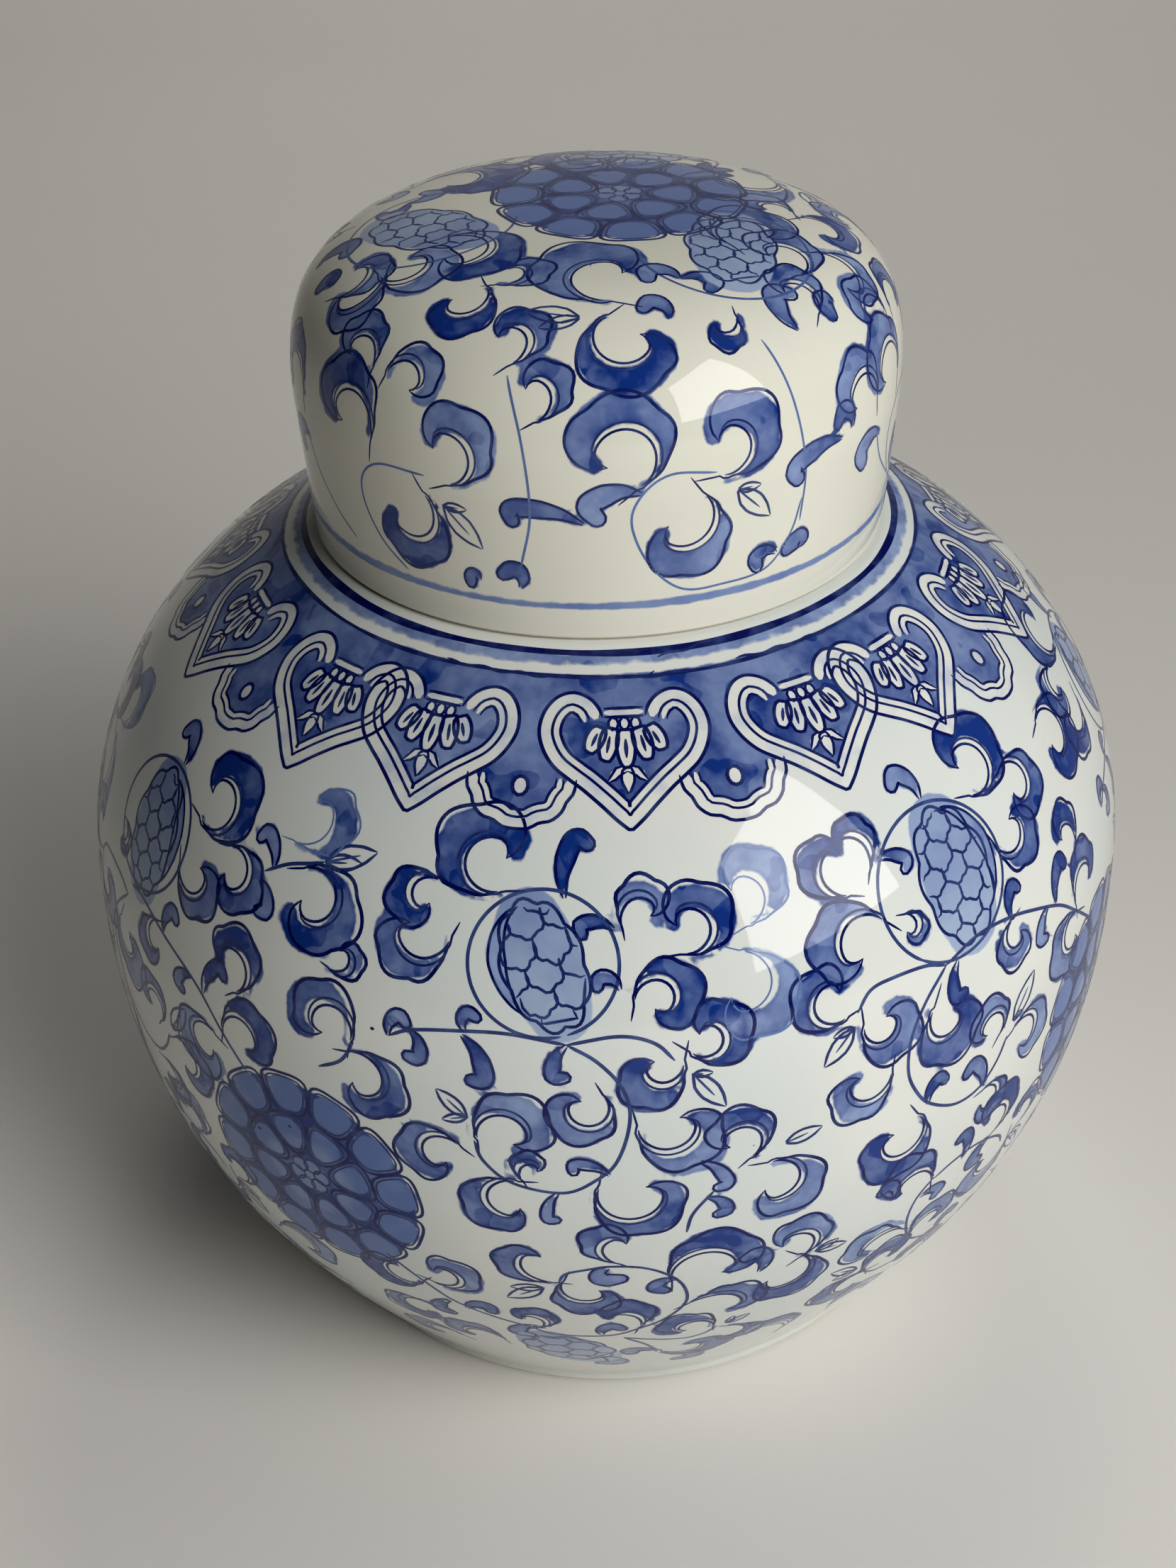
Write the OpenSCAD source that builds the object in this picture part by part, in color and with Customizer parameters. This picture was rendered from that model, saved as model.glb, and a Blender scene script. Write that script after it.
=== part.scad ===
// Ginger jar: a globular porcelain jar with a short neck, and a domed cap lid
// that drops over the neck and rests on a flat seat on the shoulder.
// Both pieces are thrown shapes, so each one is a single outline turned about Z.
// The origin is the middle of the foot ring's resting face, and +Z is up.

/* [Jar] */
// Radius of the belly at its widest
belly_r = 115; // [113:1:119]
// Height above the foot where the belly reaches its widest
belly_z = 103; // [100:1:106]
// Height of the nearly upright band at the widest place
band_h = 8; // [7:0.5:9]
// Radius of curvature just below the widest place
lower_r = 132; // [120:1:145]
// How far the lower belly turns, in degrees
lower_turn = 31; // [26:1:36]
// Radius of curvature from the lower belly down to the foot
flare_r = 350; // [250:10:450]
// Radius of curvature of the shoulder
shoulder_r = 79.5; // [78.5:0.25:81]
// How far the shoulder turns, in degrees
shoulder_turn = 52; // [49:1:54]
// Radius of curvature between the shoulder and the seat
slope_r = 135; // [120:5:150]
// Thickness of the jar's wall
wall = 5; // [4:0.5:7]

/* [Foot] */
// Height of the foot ring
foot_h = 4; // [3:0.5:5]
// How far the foot ring stands in from the wall above it
foot_inset = 1.5; // [1:0.5:3]
// Width of the foot ring's resting face
foot_w = 8; // [6:0.5:12]
// Depth of the hollow under the base
foot_recess = 5; // [3:0.5:7]
// Thickness of the base
base_t = 6; // [5:0.5:9]

/* [Neck] */
// Height of the seat that the lid rests on
seat_z = 188.5; // [187:0.5:189]
// Outer radius of the neck
neck_r = 52; // [48:0.5:53]
// Thickness of the neck's wall
neck_t = 5; // [4:0.5:6]
// Height of the neck above the seat
neck_h = 21; // [14:1:26]

/* [Lid] */
// Outer radius of the lid at its rim
rim_r = 60; // [59.5:0.25:60.5]
// How much wider the lid is where its dome begins
skirt_flare = 2.25; // [0:0.25:3]
// Height of the nearly straight skirt
skirt_h = 30; // [25:1:34]
// Height of the dome above the skirt
dome_h = 35; // [30:1:40]
// Fullness of the dome, where 2 is an ellipse and more is squarer
dome_power = 3.2; // [2.6:0.1:3.6]
// Thickness of the lid's wall
lid_wall = 4.5; // [4:0.5:5]
// Gap between the lid's rim and the seat
seat_gap = 0.3; // [0.2:0.1:0.5]

/* [Hidden] */

// Pieces that each stretch of a curve is drawn in
arc_steps = 14;
dome_steps = 26;
turn_fn = 180;

// Small roundings and chamfers
foot_chamfer = 0.8;
rim_chamfer = 0.8;
floor_round = 10;

// Centres of the four arcs of the jar's wall, which share a tangent where they meet
lower_c = [belly_r - lower_r, belly_z];
flare_c = lower_c + (lower_r - flare_r) * [cos(lower_turn), -sin(lower_turn)];
shoulder_c = [belly_r - shoulder_r, belly_z + band_h];
slope_c = shoulder_c + (shoulder_r - slope_r) * [cos(shoulder_turn), sin(shoulder_turn)];

// The foot ring and the neck
foot_angle = asin((foot_h - flare_c[1]) / flare_r);
foot_r = flare_c[0] + flare_r * cos(foot_angle) - foot_inset;
neck_in_r = neck_r - neck_t;
neck_top = seat_z + neck_h;
seat_angle = asin((seat_z - slope_c[1]) / slope_r);

// The inside of the jar, one wall in from the outside
floor_z = foot_recess + base_t;
floor_angle = asin((floor_z + floor_round - flare_c[1]) / (flare_r - wall));
floor_r = flare_c[0] + (flare_r - wall) * cos(floor_angle);
throat_angle = acos((neck_in_r - slope_c[0]) / (slope_r - wall));

// The lid
rim_z = seat_z + seat_gap;
dome_r = rim_r + skirt_flare;
dome_z = rim_z + skirt_h;

// Points of an arc about a centre, from one angle to another
function arc(centre, r, from, to, steps) =
    [for (i = [0 : steps]) centre + r * [cos(from + (to - from) * i / steps),
                                         sin(from + (to - from) * i / steps)]];

// One quarter of a superellipse, from its widest place up to the axis
function dome(r, h, z, steps) =
    [for (i = [0 : steps]) [r * pow(cos(90 * i / steps), 2 / dome_power),
                            z + h * pow(sin(90 * i / steps), 2 / dome_power)]];

// A list turned end for end
function reversed(points) = [for (i = [len(points) - 1 : -1 : 0]) points[i]];

// The outside of the jar, from the foot ring up to the lip
function jar_outside() = concat(
    [[foot_r - foot_chamfer, 0], [foot_r, foot_chamfer], [foot_r, foot_h]],
    arc(flare_c, flare_r, foot_angle, -lower_turn, arc_steps),
    arc(lower_c, lower_r, -lower_turn, 0, arc_steps),
    arc(shoulder_c, shoulder_r, 0, shoulder_turn, arc_steps * 2),
    arc(slope_c, slope_r, shoulder_turn, seat_angle, arc_steps),
    [[neck_r, seat_z]]);

// The lip and the inside of the jar, down to the middle of the floor
function jar_inside() = concat(
    arc([neck_r - neck_t / 2, neck_top - neck_t / 2], neck_t / 2, 0, 180, arc_steps),
    arc(slope_c, slope_r - wall, throat_angle, shoulder_turn, arc_steps),
    arc(shoulder_c, shoulder_r - wall, shoulder_turn, 0, arc_steps * 2),
    arc(lower_c, lower_r - wall, 0, -lower_turn, arc_steps),
    arc(flare_c, flare_r - wall, -lower_turn, floor_angle, arc_steps),
    arc([floor_r - floor_round, floor_z + floor_round], floor_round, 0, -90, arc_steps),
    [[0, floor_z]]);

// The hollow under the base, from its middle out to the foot ring's resting face
function jar_underside() =
    [[0, foot_recess],
     [foot_r - foot_w - foot_recess / 4, foot_recess],
     [foot_r - foot_w, foot_chamfer],
     [foot_r - foot_w + foot_chamfer, 0]];

module jar() {
    color("aliceblue")
        rotate_extrude($fn = turn_fn)
            polygon(concat(jar_outside(), jar_inside(), jar_underside()));
}

module lid() {
    rim = [[rim_r - lid_wall + rim_chamfer, rim_z],
           [rim_r - rim_chamfer, rim_z],
           [rim_r, rim_z + rim_chamfer]];
    outside = dome(dome_r, dome_h, dome_z, dome_steps);
    inside = dome(dome_r - lid_wall, dome_h - lid_wall, dome_z, dome_steps);
    color("ivory")
        rotate_extrude($fn = turn_fn)
            polygon(concat(rim, outside, reversed(inside),
                           [[rim_r - lid_wall, rim_z + rim_chamfer]]));
}

jar();
lid();
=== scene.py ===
"""A blue-and-white ginger jar with a domed cap lid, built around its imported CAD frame.

Lengths inside the pattern code are millimetres, and meshes are made in metres. A place on a piece is given
as az and s: az is degrees round the jar from the front (-Y), to the right when positive. On the jar s is
millimetres of surface down from the edge of the lid's seat, and on the lid it is millimetres from the apex.
"""

import functools
import math

import bpy
import numpy as np
from bpy.props import FloatProperty, FloatVectorProperty, IntProperty, PointerProperty
from mathutils import Matrix, Vector


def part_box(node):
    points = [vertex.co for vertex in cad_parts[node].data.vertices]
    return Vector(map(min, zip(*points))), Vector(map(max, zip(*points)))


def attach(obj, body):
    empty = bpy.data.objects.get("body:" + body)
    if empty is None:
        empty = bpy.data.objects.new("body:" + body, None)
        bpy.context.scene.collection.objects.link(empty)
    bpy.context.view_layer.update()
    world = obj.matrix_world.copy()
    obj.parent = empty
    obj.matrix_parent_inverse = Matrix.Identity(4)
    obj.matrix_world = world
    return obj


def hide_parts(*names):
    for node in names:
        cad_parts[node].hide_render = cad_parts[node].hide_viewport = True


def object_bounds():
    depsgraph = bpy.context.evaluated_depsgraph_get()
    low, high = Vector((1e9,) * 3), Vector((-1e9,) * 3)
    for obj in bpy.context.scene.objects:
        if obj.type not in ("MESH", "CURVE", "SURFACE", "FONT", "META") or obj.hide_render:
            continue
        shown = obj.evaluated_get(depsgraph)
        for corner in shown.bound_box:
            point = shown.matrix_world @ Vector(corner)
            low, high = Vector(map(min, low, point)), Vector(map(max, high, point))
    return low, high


bl_info = {
    "name": "Ginger Jar",
    "version": (1, 0, 0),
    "blender": (4, 5, 0),
    "location": "View3D > Sidebar > Ginger Jar",
    "description": "Models a blue-and-white ginger jar with its lid, its painting and a plain stage",
    "category": "Add Mesh",
}

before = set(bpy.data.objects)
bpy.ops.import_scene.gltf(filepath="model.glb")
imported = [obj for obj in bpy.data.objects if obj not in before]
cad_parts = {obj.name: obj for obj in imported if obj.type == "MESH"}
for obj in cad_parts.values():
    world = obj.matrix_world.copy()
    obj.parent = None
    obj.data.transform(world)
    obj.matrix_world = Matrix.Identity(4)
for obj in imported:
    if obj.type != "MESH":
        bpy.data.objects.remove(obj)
CAD_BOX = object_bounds()
JAR_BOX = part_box("jar")
LID_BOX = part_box("lid")
MM = 0.001

# ---------------------------------------------------------------- outlines of the two turned pieces, in mm

BELLY_R = JAR_BOX[1].x / MM
BELLY_Z = 103.0
BAND_H = 8.0
LOWER_R, LOWER_TURN = 132.0, 31.0
FLARE_R = 350.0
SHOULDER_R, SHOULDER_TURN = 79.5, 52.0
SLOPE_R = 135.0
WALL = 5.0
FOOT_H, FOOT_INSET, FOOT_W, FOOT_RECESS, BASE_T = 4.0, 1.5, 8.0, 5.0, 6.0
SEAT_Z = 188.5
NECK_R, NECK_T = 52.0, 5.0
NECK_TOP = JAR_BOX[1].z / MM
RIM_R, SKIRT_FLARE, SKIRT_H, DOME_H, DOME_POWER = 60.0, 2.25, 30.0, 35.0, 3.2
LID_WALL, EDGE, FLOOR_ROUND = 4.5, 0.8, 10.0
RIM_Z = LID_BOX[0].z / MM


def arc(centre, radius, start, end, steps=40):
    """Points (radius, height) along an arc, angles in degrees."""
    a = np.radians(np.linspace(start, end, steps + 1))
    return np.stack([centre[0] + radius * np.cos(a), centre[1] + radius * np.sin(a)], 1)


def jar_outlines():
    """The jar's outside from foot to seat, and its whole closed outline from the base round to the floor."""
    lower = (BELLY_R - LOWER_R, BELLY_Z)
    turn = math.radians(LOWER_TURN)
    flare = (lower[0] + (LOWER_R - FLARE_R) * math.cos(turn), lower[1] - (LOWER_R - FLARE_R) * math.sin(turn))
    shoulder = (BELLY_R - SHOULDER_R, BELLY_Z + BAND_H)
    turn = math.radians(SHOULDER_TURN)
    slope = (
        shoulder[0] + (SHOULDER_R - SLOPE_R) * math.cos(turn),
        shoulder[1] + (SHOULDER_R - SLOPE_R) * math.sin(turn),
    )
    foot_angle = math.degrees(math.asin((FOOT_H - flare[1]) / FLARE_R))
    foot_r = flare[0] + FLARE_R * math.cos(math.radians(foot_angle)) - FOOT_INSET
    seat_angle = math.degrees(math.asin((SEAT_Z - slope[1]) / SLOPE_R))
    neck_in = NECK_R - NECK_T
    floor_z = FOOT_RECESS + BASE_T
    floor_angle = math.degrees(math.asin((floor_z + FLOOR_ROUND - flare[1]) / (FLARE_R - WALL)))
    floor_r = flare[0] + (FLARE_R - WALL) * math.cos(math.radians(floor_angle))
    throat_angle = math.degrees(math.acos((neck_in - slope[0]) / (SLOPE_R - WALL)))
    underside = [
        (0, FOOT_RECESS),
        (foot_r - FOOT_W - FOOT_RECESS / 4, FOOT_RECESS),
        (foot_r - FOOT_W, EDGE),
        (foot_r - FOOT_W + EDGE, 0),
        (foot_r - EDGE, 0),
        (foot_r, EDGE),
        (foot_r, FOOT_H),
    ]
    skin = np.vstack(
        [
            arc(flare, FLARE_R, foot_angle, -LOWER_TURN),
            arc(lower, LOWER_R, -LOWER_TURN, 0),
            arc(shoulder, SHOULDER_R, 0, SHOULDER_TURN),
            arc(slope, SLOPE_R, SHOULDER_TURN, seat_angle),
        ]
    )
    neck = [(NECK_R + 0.5, SEAT_Z), (NECK_R, SEAT_Z + 0.5)]
    inside = np.vstack(
        [
            arc((NECK_R - NECK_T / 2, NECK_TOP - NECK_T / 2), NECK_T / 2, 0, 180, 12),
            arc(slope, SLOPE_R - WALL, throat_angle, SHOULDER_TURN),
            arc(shoulder, SHOULDER_R - WALL, SHOULDER_TURN, 0),
            arc(lower, LOWER_R - WALL, 0, -LOWER_TURN),
            arc(flare, FLARE_R - WALL, -LOWER_TURN, floor_angle),
            arc((floor_r - FLOOR_ROUND, floor_z + FLOOR_ROUND), FLOOR_ROUND, 0, -90),
            [(0, floor_z)],
        ]
    )
    return np.array(underside, float), skin, np.array(neck, float), inside


def lid_outlines():
    """The lid's outside from the apex down to its rim, and its inside back up to the axis."""
    dome_r = RIM_R + SKIRT_FLARE
    dome_z = RIM_Z + SKIRT_H

    def dome(radius, height):
        a = np.radians(90 - 90 * np.linspace(0, 1, 241) ** 1.6)
        side = radius * np.clip(np.cos(a), 0, 1) ** (2 / DOME_POWER)
        side[0] = 0
        return np.stack([side, dome_z + height * np.sin(a) ** (2 / DOME_POWER)], 1)

    skin = np.vstack([dome(dome_r, DOME_H), [(RIM_R, RIM_Z + EDGE)]])
    inside = np.vstack(
        [
            [(RIM_R - EDGE, RIM_Z), (RIM_R - LID_WALL + EDGE, RIM_Z), (RIM_R - LID_WALL, RIM_Z + EDGE)],
            dome(dome_r - LID_WALL, DOME_H - LID_WALL)[::-1],
        ]
    )
    return skin, inside


def spaced(points, step, closed=False):
    """The same line with points about one step apart."""
    p = np.asarray(points, float)
    if closed:
        p = np.vstack([p, p[:1]])
    d = np.concatenate([[0], np.cumsum(np.linalg.norm(np.diff(p, axis=0), axis=1))])
    t = np.linspace(0, d[-1], max(2, int(round(d[-1] / step)) + 1))
    out = np.stack([np.interp(t, d, p[:, k]) for k in range(p.shape[1])], 1)
    return out[:-1] if closed else out


def curve_through(points, step=0.5):
    """A smooth curve through given points, with a point about every step."""
    p = np.asarray(points, float)
    if len(p) < 3:
        return spaced(p, step)
    ends = np.vstack([2 * p[0] - p[1], p, 2 * p[-1] - p[-2]])
    t = np.linspace(0, 1, 12, endpoint=False)[:, None]
    runs = []
    for a, b, c, d in zip(ends, ends[1:], ends[2:], ends[3:]):
        squared = (2 * a - 5 * b + 4 * c - d) * t**2
        cubed = (3 * b - a - 3 * c + d) * t**3
        runs.append(0.5 * (2 * b + (c - a) * t + squared + cubed))
    return spaced(np.vstack(runs + [p[-1:]]), step)


class Skin:
    """The outside of a turned piece, by distance s along its outline."""

    def __init__(self, outline):
        fine = spaced(outline, 0.1)
        self.s = np.arange(len(fine)) * np.linalg.norm(np.diff(fine, axis=0), axis=1).mean()
        self.r, self.z = fine.T
        along = np.gradient(fine, axis=0)
        along /= np.linalg.norm(along, axis=1)[:, None]
        window = np.ones(15) / 15
        for k in (0, 1):
            padded = np.pad(along[:, k], 7, mode="edge")
            along[:, k] = np.convolve(padded, window, mode="valid")
        self.tr, self.tz = (along / np.linalg.norm(along, axis=1)[:, None]).T
        self.length = self.s[-1]

    def at(self, table, s):
        return np.interp(s, self.s, table)

    def radius(self, s):
        return self.at(self.r, s)

    def point(self, az, s):
        """Points on the surface."""
        a = np.radians(az)
        r = self.radius(s)
        return np.stack([r * np.sin(a), -r * np.cos(a), self.at(self.z, s)], -1)

    def frame(self, az, s):
        """The directions to the right, up towards the top, and outwards at a place."""
        a = np.radians(az)
        tr, tz = self.at(self.tr, s), self.at(self.tz, s)
        right = np.stack([np.cos(a), np.sin(a), np.zeros_like(a * tr)], -1)
        up = np.stack([-tr * np.sin(a), tr * np.cos(a), -tz * np.ones_like(a)], -1)
        return right, up, np.cross(right, up)

    def land(self, points, s):
        """Drops points near the surface straight onto it, starting from a guess of s. Gives az and s."""
        az = np.degrees(np.arctan2(points[:, 0], -points[:, 1]))
        r = np.hypot(points[:, 0], points[:, 1])
        for _ in range(5):
            outward = (r - self.radius(s)) * self.at(self.tr, s)
            upward = (points[:, 2] - self.at(self.z, s)) * self.at(self.tz, s)
            s = np.clip(s + outward + upward, 0, self.length)
        return az, s

    def place(self, az, s, flat):
        """Lays flat drawing points (mm right, mm up) on the surface round one place. Gives az and s."""
        flat = np.asarray(flat, float)
        right, up, _ = self.frame(float(az), float(s))
        p = self.point(float(az), float(s)) + flat[:, :1] * right + flat[:, 1:2] * up
        return self.land(p, np.clip(s - flat[:, 1], 0, self.length))


@functools.lru_cache(maxsize=None)
def jar_skin():
    return Skin(jar_outlines()[1][::-1])


@functools.lru_cache(maxsize=None)
def lid_skin():
    return Skin(lid_outlines()[0])


# ---------------------------------------------------------------- drawing: printed lines and washes of colour

# The distance in mm that stands for no wash near, and how much a stroke's tone changes from end to end.
NO_WASH = 9.0
STROKE_CHANGE = 0.34
# The leaf: degrees that its tip hooks over by, and its white crescent's width and the ghost leaf's tone.
LEAF_HOOK = 26.0
CRESCENT_W = 1.45
GHOST_WASH, GHOST_LINE = 0.3, 0.95
LEAF_LINE, GHOST_LINE_W = 0.66, 0.4
STALK_POINTS = 6
# The height of one row of scales on a bud, in mm, and its scales' pitch as a share of that.
SCALE_ROW = 4.7
SCALE_PITCH = 1.32


class Drawing:
    """Everything painted on one piece: ribbons for the printed lines, and washes kept as soft shapes."""

    def __init__(self, skin, seed, weaker=0.0, finer=1.0):
        self.skin = skin
        self.weaker = weaker
        self.finer = finer
        self.rng = np.random.default_rng(seed)
        self.lines = []
        self.washes = {"wash": [], "pale": []}

    def line(self, az, s, width=0.8, tone=0.0, layer=0, closed=False):
        """One printed line through places on the surface. tone goes from 0, full cobalt, to 1, weak."""
        p = self.skin.point(np.asarray(az, float), np.asarray(s, float))
        self.lines.append((p, np.asarray(s, float), width * self.finer, tone + self.weaker, layer, closed))

    def flat_line(self, az, s, flat, width=0.8, tone=0.0, layer=0, closed=False):
        a, b = self.skin.place(az, s, flat)
        self.line(a, b, width, tone, layer, closed)

    def path(self, places, width=0.8, tone=0.0, layer=0):
        """A smooth line through given (az, s) places."""
        az, s = np.array(places, float).T
        p = curve_through(self.skin.point(az, s), 0.8)
        guess = np.interp(np.linspace(0, 1, len(p)), np.linspace(0, 1, len(s)), s)
        a, b = self.skin.land(p, guess)
        self.line(a, b, width, tone, layer)

    def band(self, s, radius, kind, tone):
        """A ring of colour all the way round."""
        az = np.linspace(-180, 180, 181)
        points = self.skin.point(az, s + 0.12 * np.sin(np.radians(2 * az)))
        self.washes[kind].append((points, radius * (1 + 0.15 * np.sin(np.radians(5 * az))), tone))

    def wash(self, az, s, flat, radii, kind="wash", tone=0.5):
        """A stroke of colour: a chain of round dabs along flat points."""
        a, b = self.skin.place(az, s, flat)
        radii = np.broadcast_to(np.asarray(radii, float), (len(flat),))
        self.washes[kind].append((self.skin.point(a, b), radii, tone))

    def field(self, points, kind):
        """Signed distance in mm from each point to the nearest wash, and that wash's tone."""
        value = np.full(len(points), NO_WASH)
        tone = np.full(len(points), 0.5)
        for line, radii, strength in self.washes[kind]:
            middle = line.mean(0)
            reach = np.linalg.norm(line - middle, axis=1).max() + radii.max() + 4.0
            near = np.flatnonzero(((points - middle) ** 2).sum(1) < reach**2)
            if not len(near):
                continue
            p = points[near][:, None]
            a, b = line[:-1], line[1:]
            ab = b - a
            t = np.clip(((p - a) * ab).sum(2) / ((ab**2).sum(1) + 1e-9), 0, 1)
            away = np.linalg.norm(p - (a + t[..., None] * ab), axis=2)
            d = away - (radii[:-1] + (radii[1:] - radii[:-1]) * t)
            along = d.argmin(1) / max(len(a) - 1, 1) - 0.5
            d = d.min(1)
            nearer = d < value[near]
            value[near[nearer]] = d[nearer]
            tone[near[nearer]] = np.clip(strength + STROKE_CHANGE * along[nearer], 0, 1)
        return value, tone


def polar(radius, angle):
    a = np.radians(angle)
    return np.stack([radius * np.cos(a), radius * np.sin(a)], 1)


def ramp(x, end):
    """A smooth rise from 0 to 1 that is complete at end."""
    t = np.clip(x / end, 0, 1)
    return t * t * (3 - 2 * t)


def leaf(d, az, s, hollow, base, tip, thick, tone=None, ghost=False):
    """One curled scroll leaf: it has a thin stalk, a lobed back and a hooked tip, round a white crescent."""
    span = abs(math.radians(tip - base))
    way = 1.0 if tip > base else -1.0
    u = np.linspace(0, 1, 48)
    angle = base + (tip + LEAF_HOOK * way - base) * u
    cap = np.clip(0.95 * thick / (span * (hollow + thick / 2)), 0.12, 0.3)
    near_tip = np.clip((u - 1 + cap) / cap, 0, 1)
    swell = thick * (0.08 + 0.97 * ramp(u - 0.04, 0.55)) * (1 - 0.36 * ramp(u - 0.58, 0.4))
    swell = swell * (1 - near_tip**2.2) ** 0.6
    phase = d.rng.uniform(0, 0.5)
    lobes = 0.17 * thick * np.abs(np.sin(math.pi * (3.8 * u + phase))) * ramp(u - 0.15, 0.25) * (1 - near_tip)
    lobes = lobes + 0.03 * thick * np.sin(31 * u + 9 * phase) * (1 - near_tip)
    inner = hollow * (1 - 0.4 * near_tip**1.5) + 0.35 * ramp(0.25 - u, 0.25)
    crescent = CRESCENT_W * np.sin(math.pi * np.clip(u / 0.93, 0, 1)) ** 0.7
    outer = inner + swell + lobes
    if tone is None:
        tone = d.rng.uniform(0.2, 1.0)
    if ghost:
        tone = GHOST_WASH
    shift = d.rng.normal(0, 0.6, 2)
    full = swell + 0.5 * lobes
    middle = inner + crescent + (full - crescent) / 2
    radii = np.maximum((full - crescent) / 2, 0.2) + 0.35
    d.wash(az, s, (polar(middle, angle) + shift)[:46:3], radii[:46:3], tone=tone)
    weak = GHOST_LINE if ghost else 0.0
    width = GHOST_LINE_W if ghost else LEAF_LINE
    # The stalk runs on past the hollow, almost straight.
    back = np.linspace(0.85 * thick, 0, STALK_POINTS + 1)[:-1, None]
    start = polar(inner[:1] + back[:, 0] * 0.22, np.full(STALK_POINTS, base))
    stalk = start - way * back * polar(np.ones(1), np.array([base + 90.0]))
    bold = np.interp(u, [0, 0.3, 0.8, 1], [0.7, 1.2, 1.1, 0.8])
    edge = np.vstack([stalk, polar(outer, angle)])
    d.flat_line(az, s, edge, width * np.concatenate([np.full(STALK_POINTS, 0.7), bold]), weak)
    d.flat_line(az, s, polar(inner, angle)[::-1], width * 0.9, weak)
    if not ghost:
        d.flat_line(az, s, polar(inner + crescent, angle)[3:43], 0.5, 0.1)


def blade(d, az, s, spine, radii, tone=0.5, filled=True, vein=False, line=0.62):
    """A solid little leaf or bud: its edge runs round a spine of flat points."""
    p = curve_through(spine, 0.6)
    r = np.interp(np.linspace(0, 1, len(p)), np.linspace(0, 1, len(radii)), radii)
    way = np.gradient(p, axis=0)
    way /= np.linalg.norm(way, axis=1)[:, None]
    side = np.stack([-way[:, 1], way[:, 0]], 1) * r[:, None]
    back = math.atan2(-way[0, 1], -way[0, 0])
    cap = back + np.linspace(-math.pi / 2, math.pi / 2, 9)
    head = p[0] + r[0] * np.stack([np.cos(cap), np.sin(cap)], 1)
    edge = np.vstack([(p + side)[::-1], head[1:-1], p - side])
    if filled:
        shift = d.rng.normal(0, 0.2, 2)
        d.wash(az, s, p[::2] + shift, r[::2] + 0.2, tone=tone)
    d.flat_line(az, s, edge, line, 0.0 if filled else 0.15)
    if vein:
        d.flat_line(az, s, p[: int(len(p) * 0.7)], 0.5, 0.3)


def flat_of(d, az, s, az2, s2):
    """The flat offset in mm from one place to another."""
    r = float(d.skin.radius((s + s2) / 2))
    return np.array([math.radians(az2 - az) * r, s - s2])


def comma(d, head, tail, thick=3.6, tone=0.55):
    """A comma-shaped leaf: a round head that hooks over, and a thin tail."""
    v = flat_of(d, *head, *tail)
    length = np.linalg.norm(v)
    side = np.array([-v[1], v[0]]) / length * (1 if v[0] > 0 else -1) * thick
    along = v / length * thick
    hook = (0.35 * along - 0.62 * side, 0.12 * along - 0.1 * side)
    spine = [*hook, 0.25 * v + 0.2 * side, 0.65 * v + 0.3 * side, v]
    blade(d, *head, spine, [0.34 * thick, 0.46 * thick, 0.44 * thick, 0.26 * thick, 0.25], tone)


def leaflets(d, base, *tips):
    """Small pointed leaves left white, from one base."""
    for tip in tips:
        v = flat_of(d, *base, *tip)
        half = 0.2 * np.linalg.norm(v)
        radii = [0.1, half * 0.85, half, half * 0.7, 0.1]
        blade(d, *base, [(0, 0), v * 0.5, v], radii, filled=False, vein=True, line=0.65)


def ring_stem(d, az, s, radius, start, end, tone=0.25):
    """Part of the round stem that circles a bud or a flower."""
    d.flat_line(az, s, polar(np.full(60, radius), np.linspace(start, end, 60)), 0.7, tone)


def pit_shade_dot(d, az, s):
    """A tiny pit in the glaze, drawn as a flat dark dot whose darkness is painted shade."""
    across = [(-0.45, 0), (-0.2, 0), (0.2, 0), (0.45, 0)]
    d.flat_line(az, s, across, np.array([0.5, 0.9, 0.9, 0.5]), layer=1)


def scaled_bud(d, az, s, half_w, half_h, lean, husk):
    """A bud covered in rounded scales, with a thin husk along one side (husk is 1 right, -1 left, 0 none)."""
    turn = math.radians(lean)
    spin = np.array([[math.cos(turn), math.sin(turn)], [-math.sin(turn), math.cos(turn)]])
    long = np.linspace(-0.72, 0.72, 9)
    spine = np.stack([0 * long, long * half_h], 1) @ spin
    d.wash(az, s, spine, half_w * np.sqrt(1 - (0.8 * long) ** 2), kind="pale", tone=0.15)
    around = np.linspace(0, 360, 91)[:-1]
    lobes = 0.96 + 0.11 * np.abs(np.sin(np.radians(around) * 4.5 + 0.6))
    edge = polar(lobes, around) * (half_w, half_h)
    d.flat_line(az, s, edge @ spin, 0.65, 0.05, closed=True)
    rows = max(3, round(half_h * 2 / SCALE_ROW))
    rise = half_h * 2 / rows
    pitch = rise * SCALE_PITCH
    a = np.linspace(0, math.pi, 25)
    for j in range(-1, rows):
        top = half_h - (j + 0.35) * rise
        offset = 0.5 * pitch * (j % 2) + d.rng.uniform(-0.14, 0.14) * pitch
        for k in range(-3, 4):
            x = k * pitch + offset
            deep = rise * (0.98 + d.rng.normal(0, 0.07))
            bump = 0.93 + 0.2 * np.abs(np.sin(3 * a + d.rng.uniform(-0.35, 0.35)))
            scale = np.stack([x - pitch / 2 * np.cos(a) * bump, top - deep * np.sin(a) ** 0.7 * bump], 1)
            inside = (scale[:, 0] / half_w) ** 2 + (scale[:, 1] / half_h) ** 2 < 0.98
            if inside.sum() > 3:
                d.flat_line(az, s, scale[inside] @ spin, 0.6, 0.12)
    if husk:
        a = np.linspace(105, 215, 14) if husk < 0 else np.linspace(75, -35, 14)
        run = polar(np.ones(14), a) * (half_w + 0.9, half_h - 0.2)
        blade(d, az, s, run @ spin, [0.2, 1.2, 1.7, 1.1, 0.2], tone=0.1, line=0.55)


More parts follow.
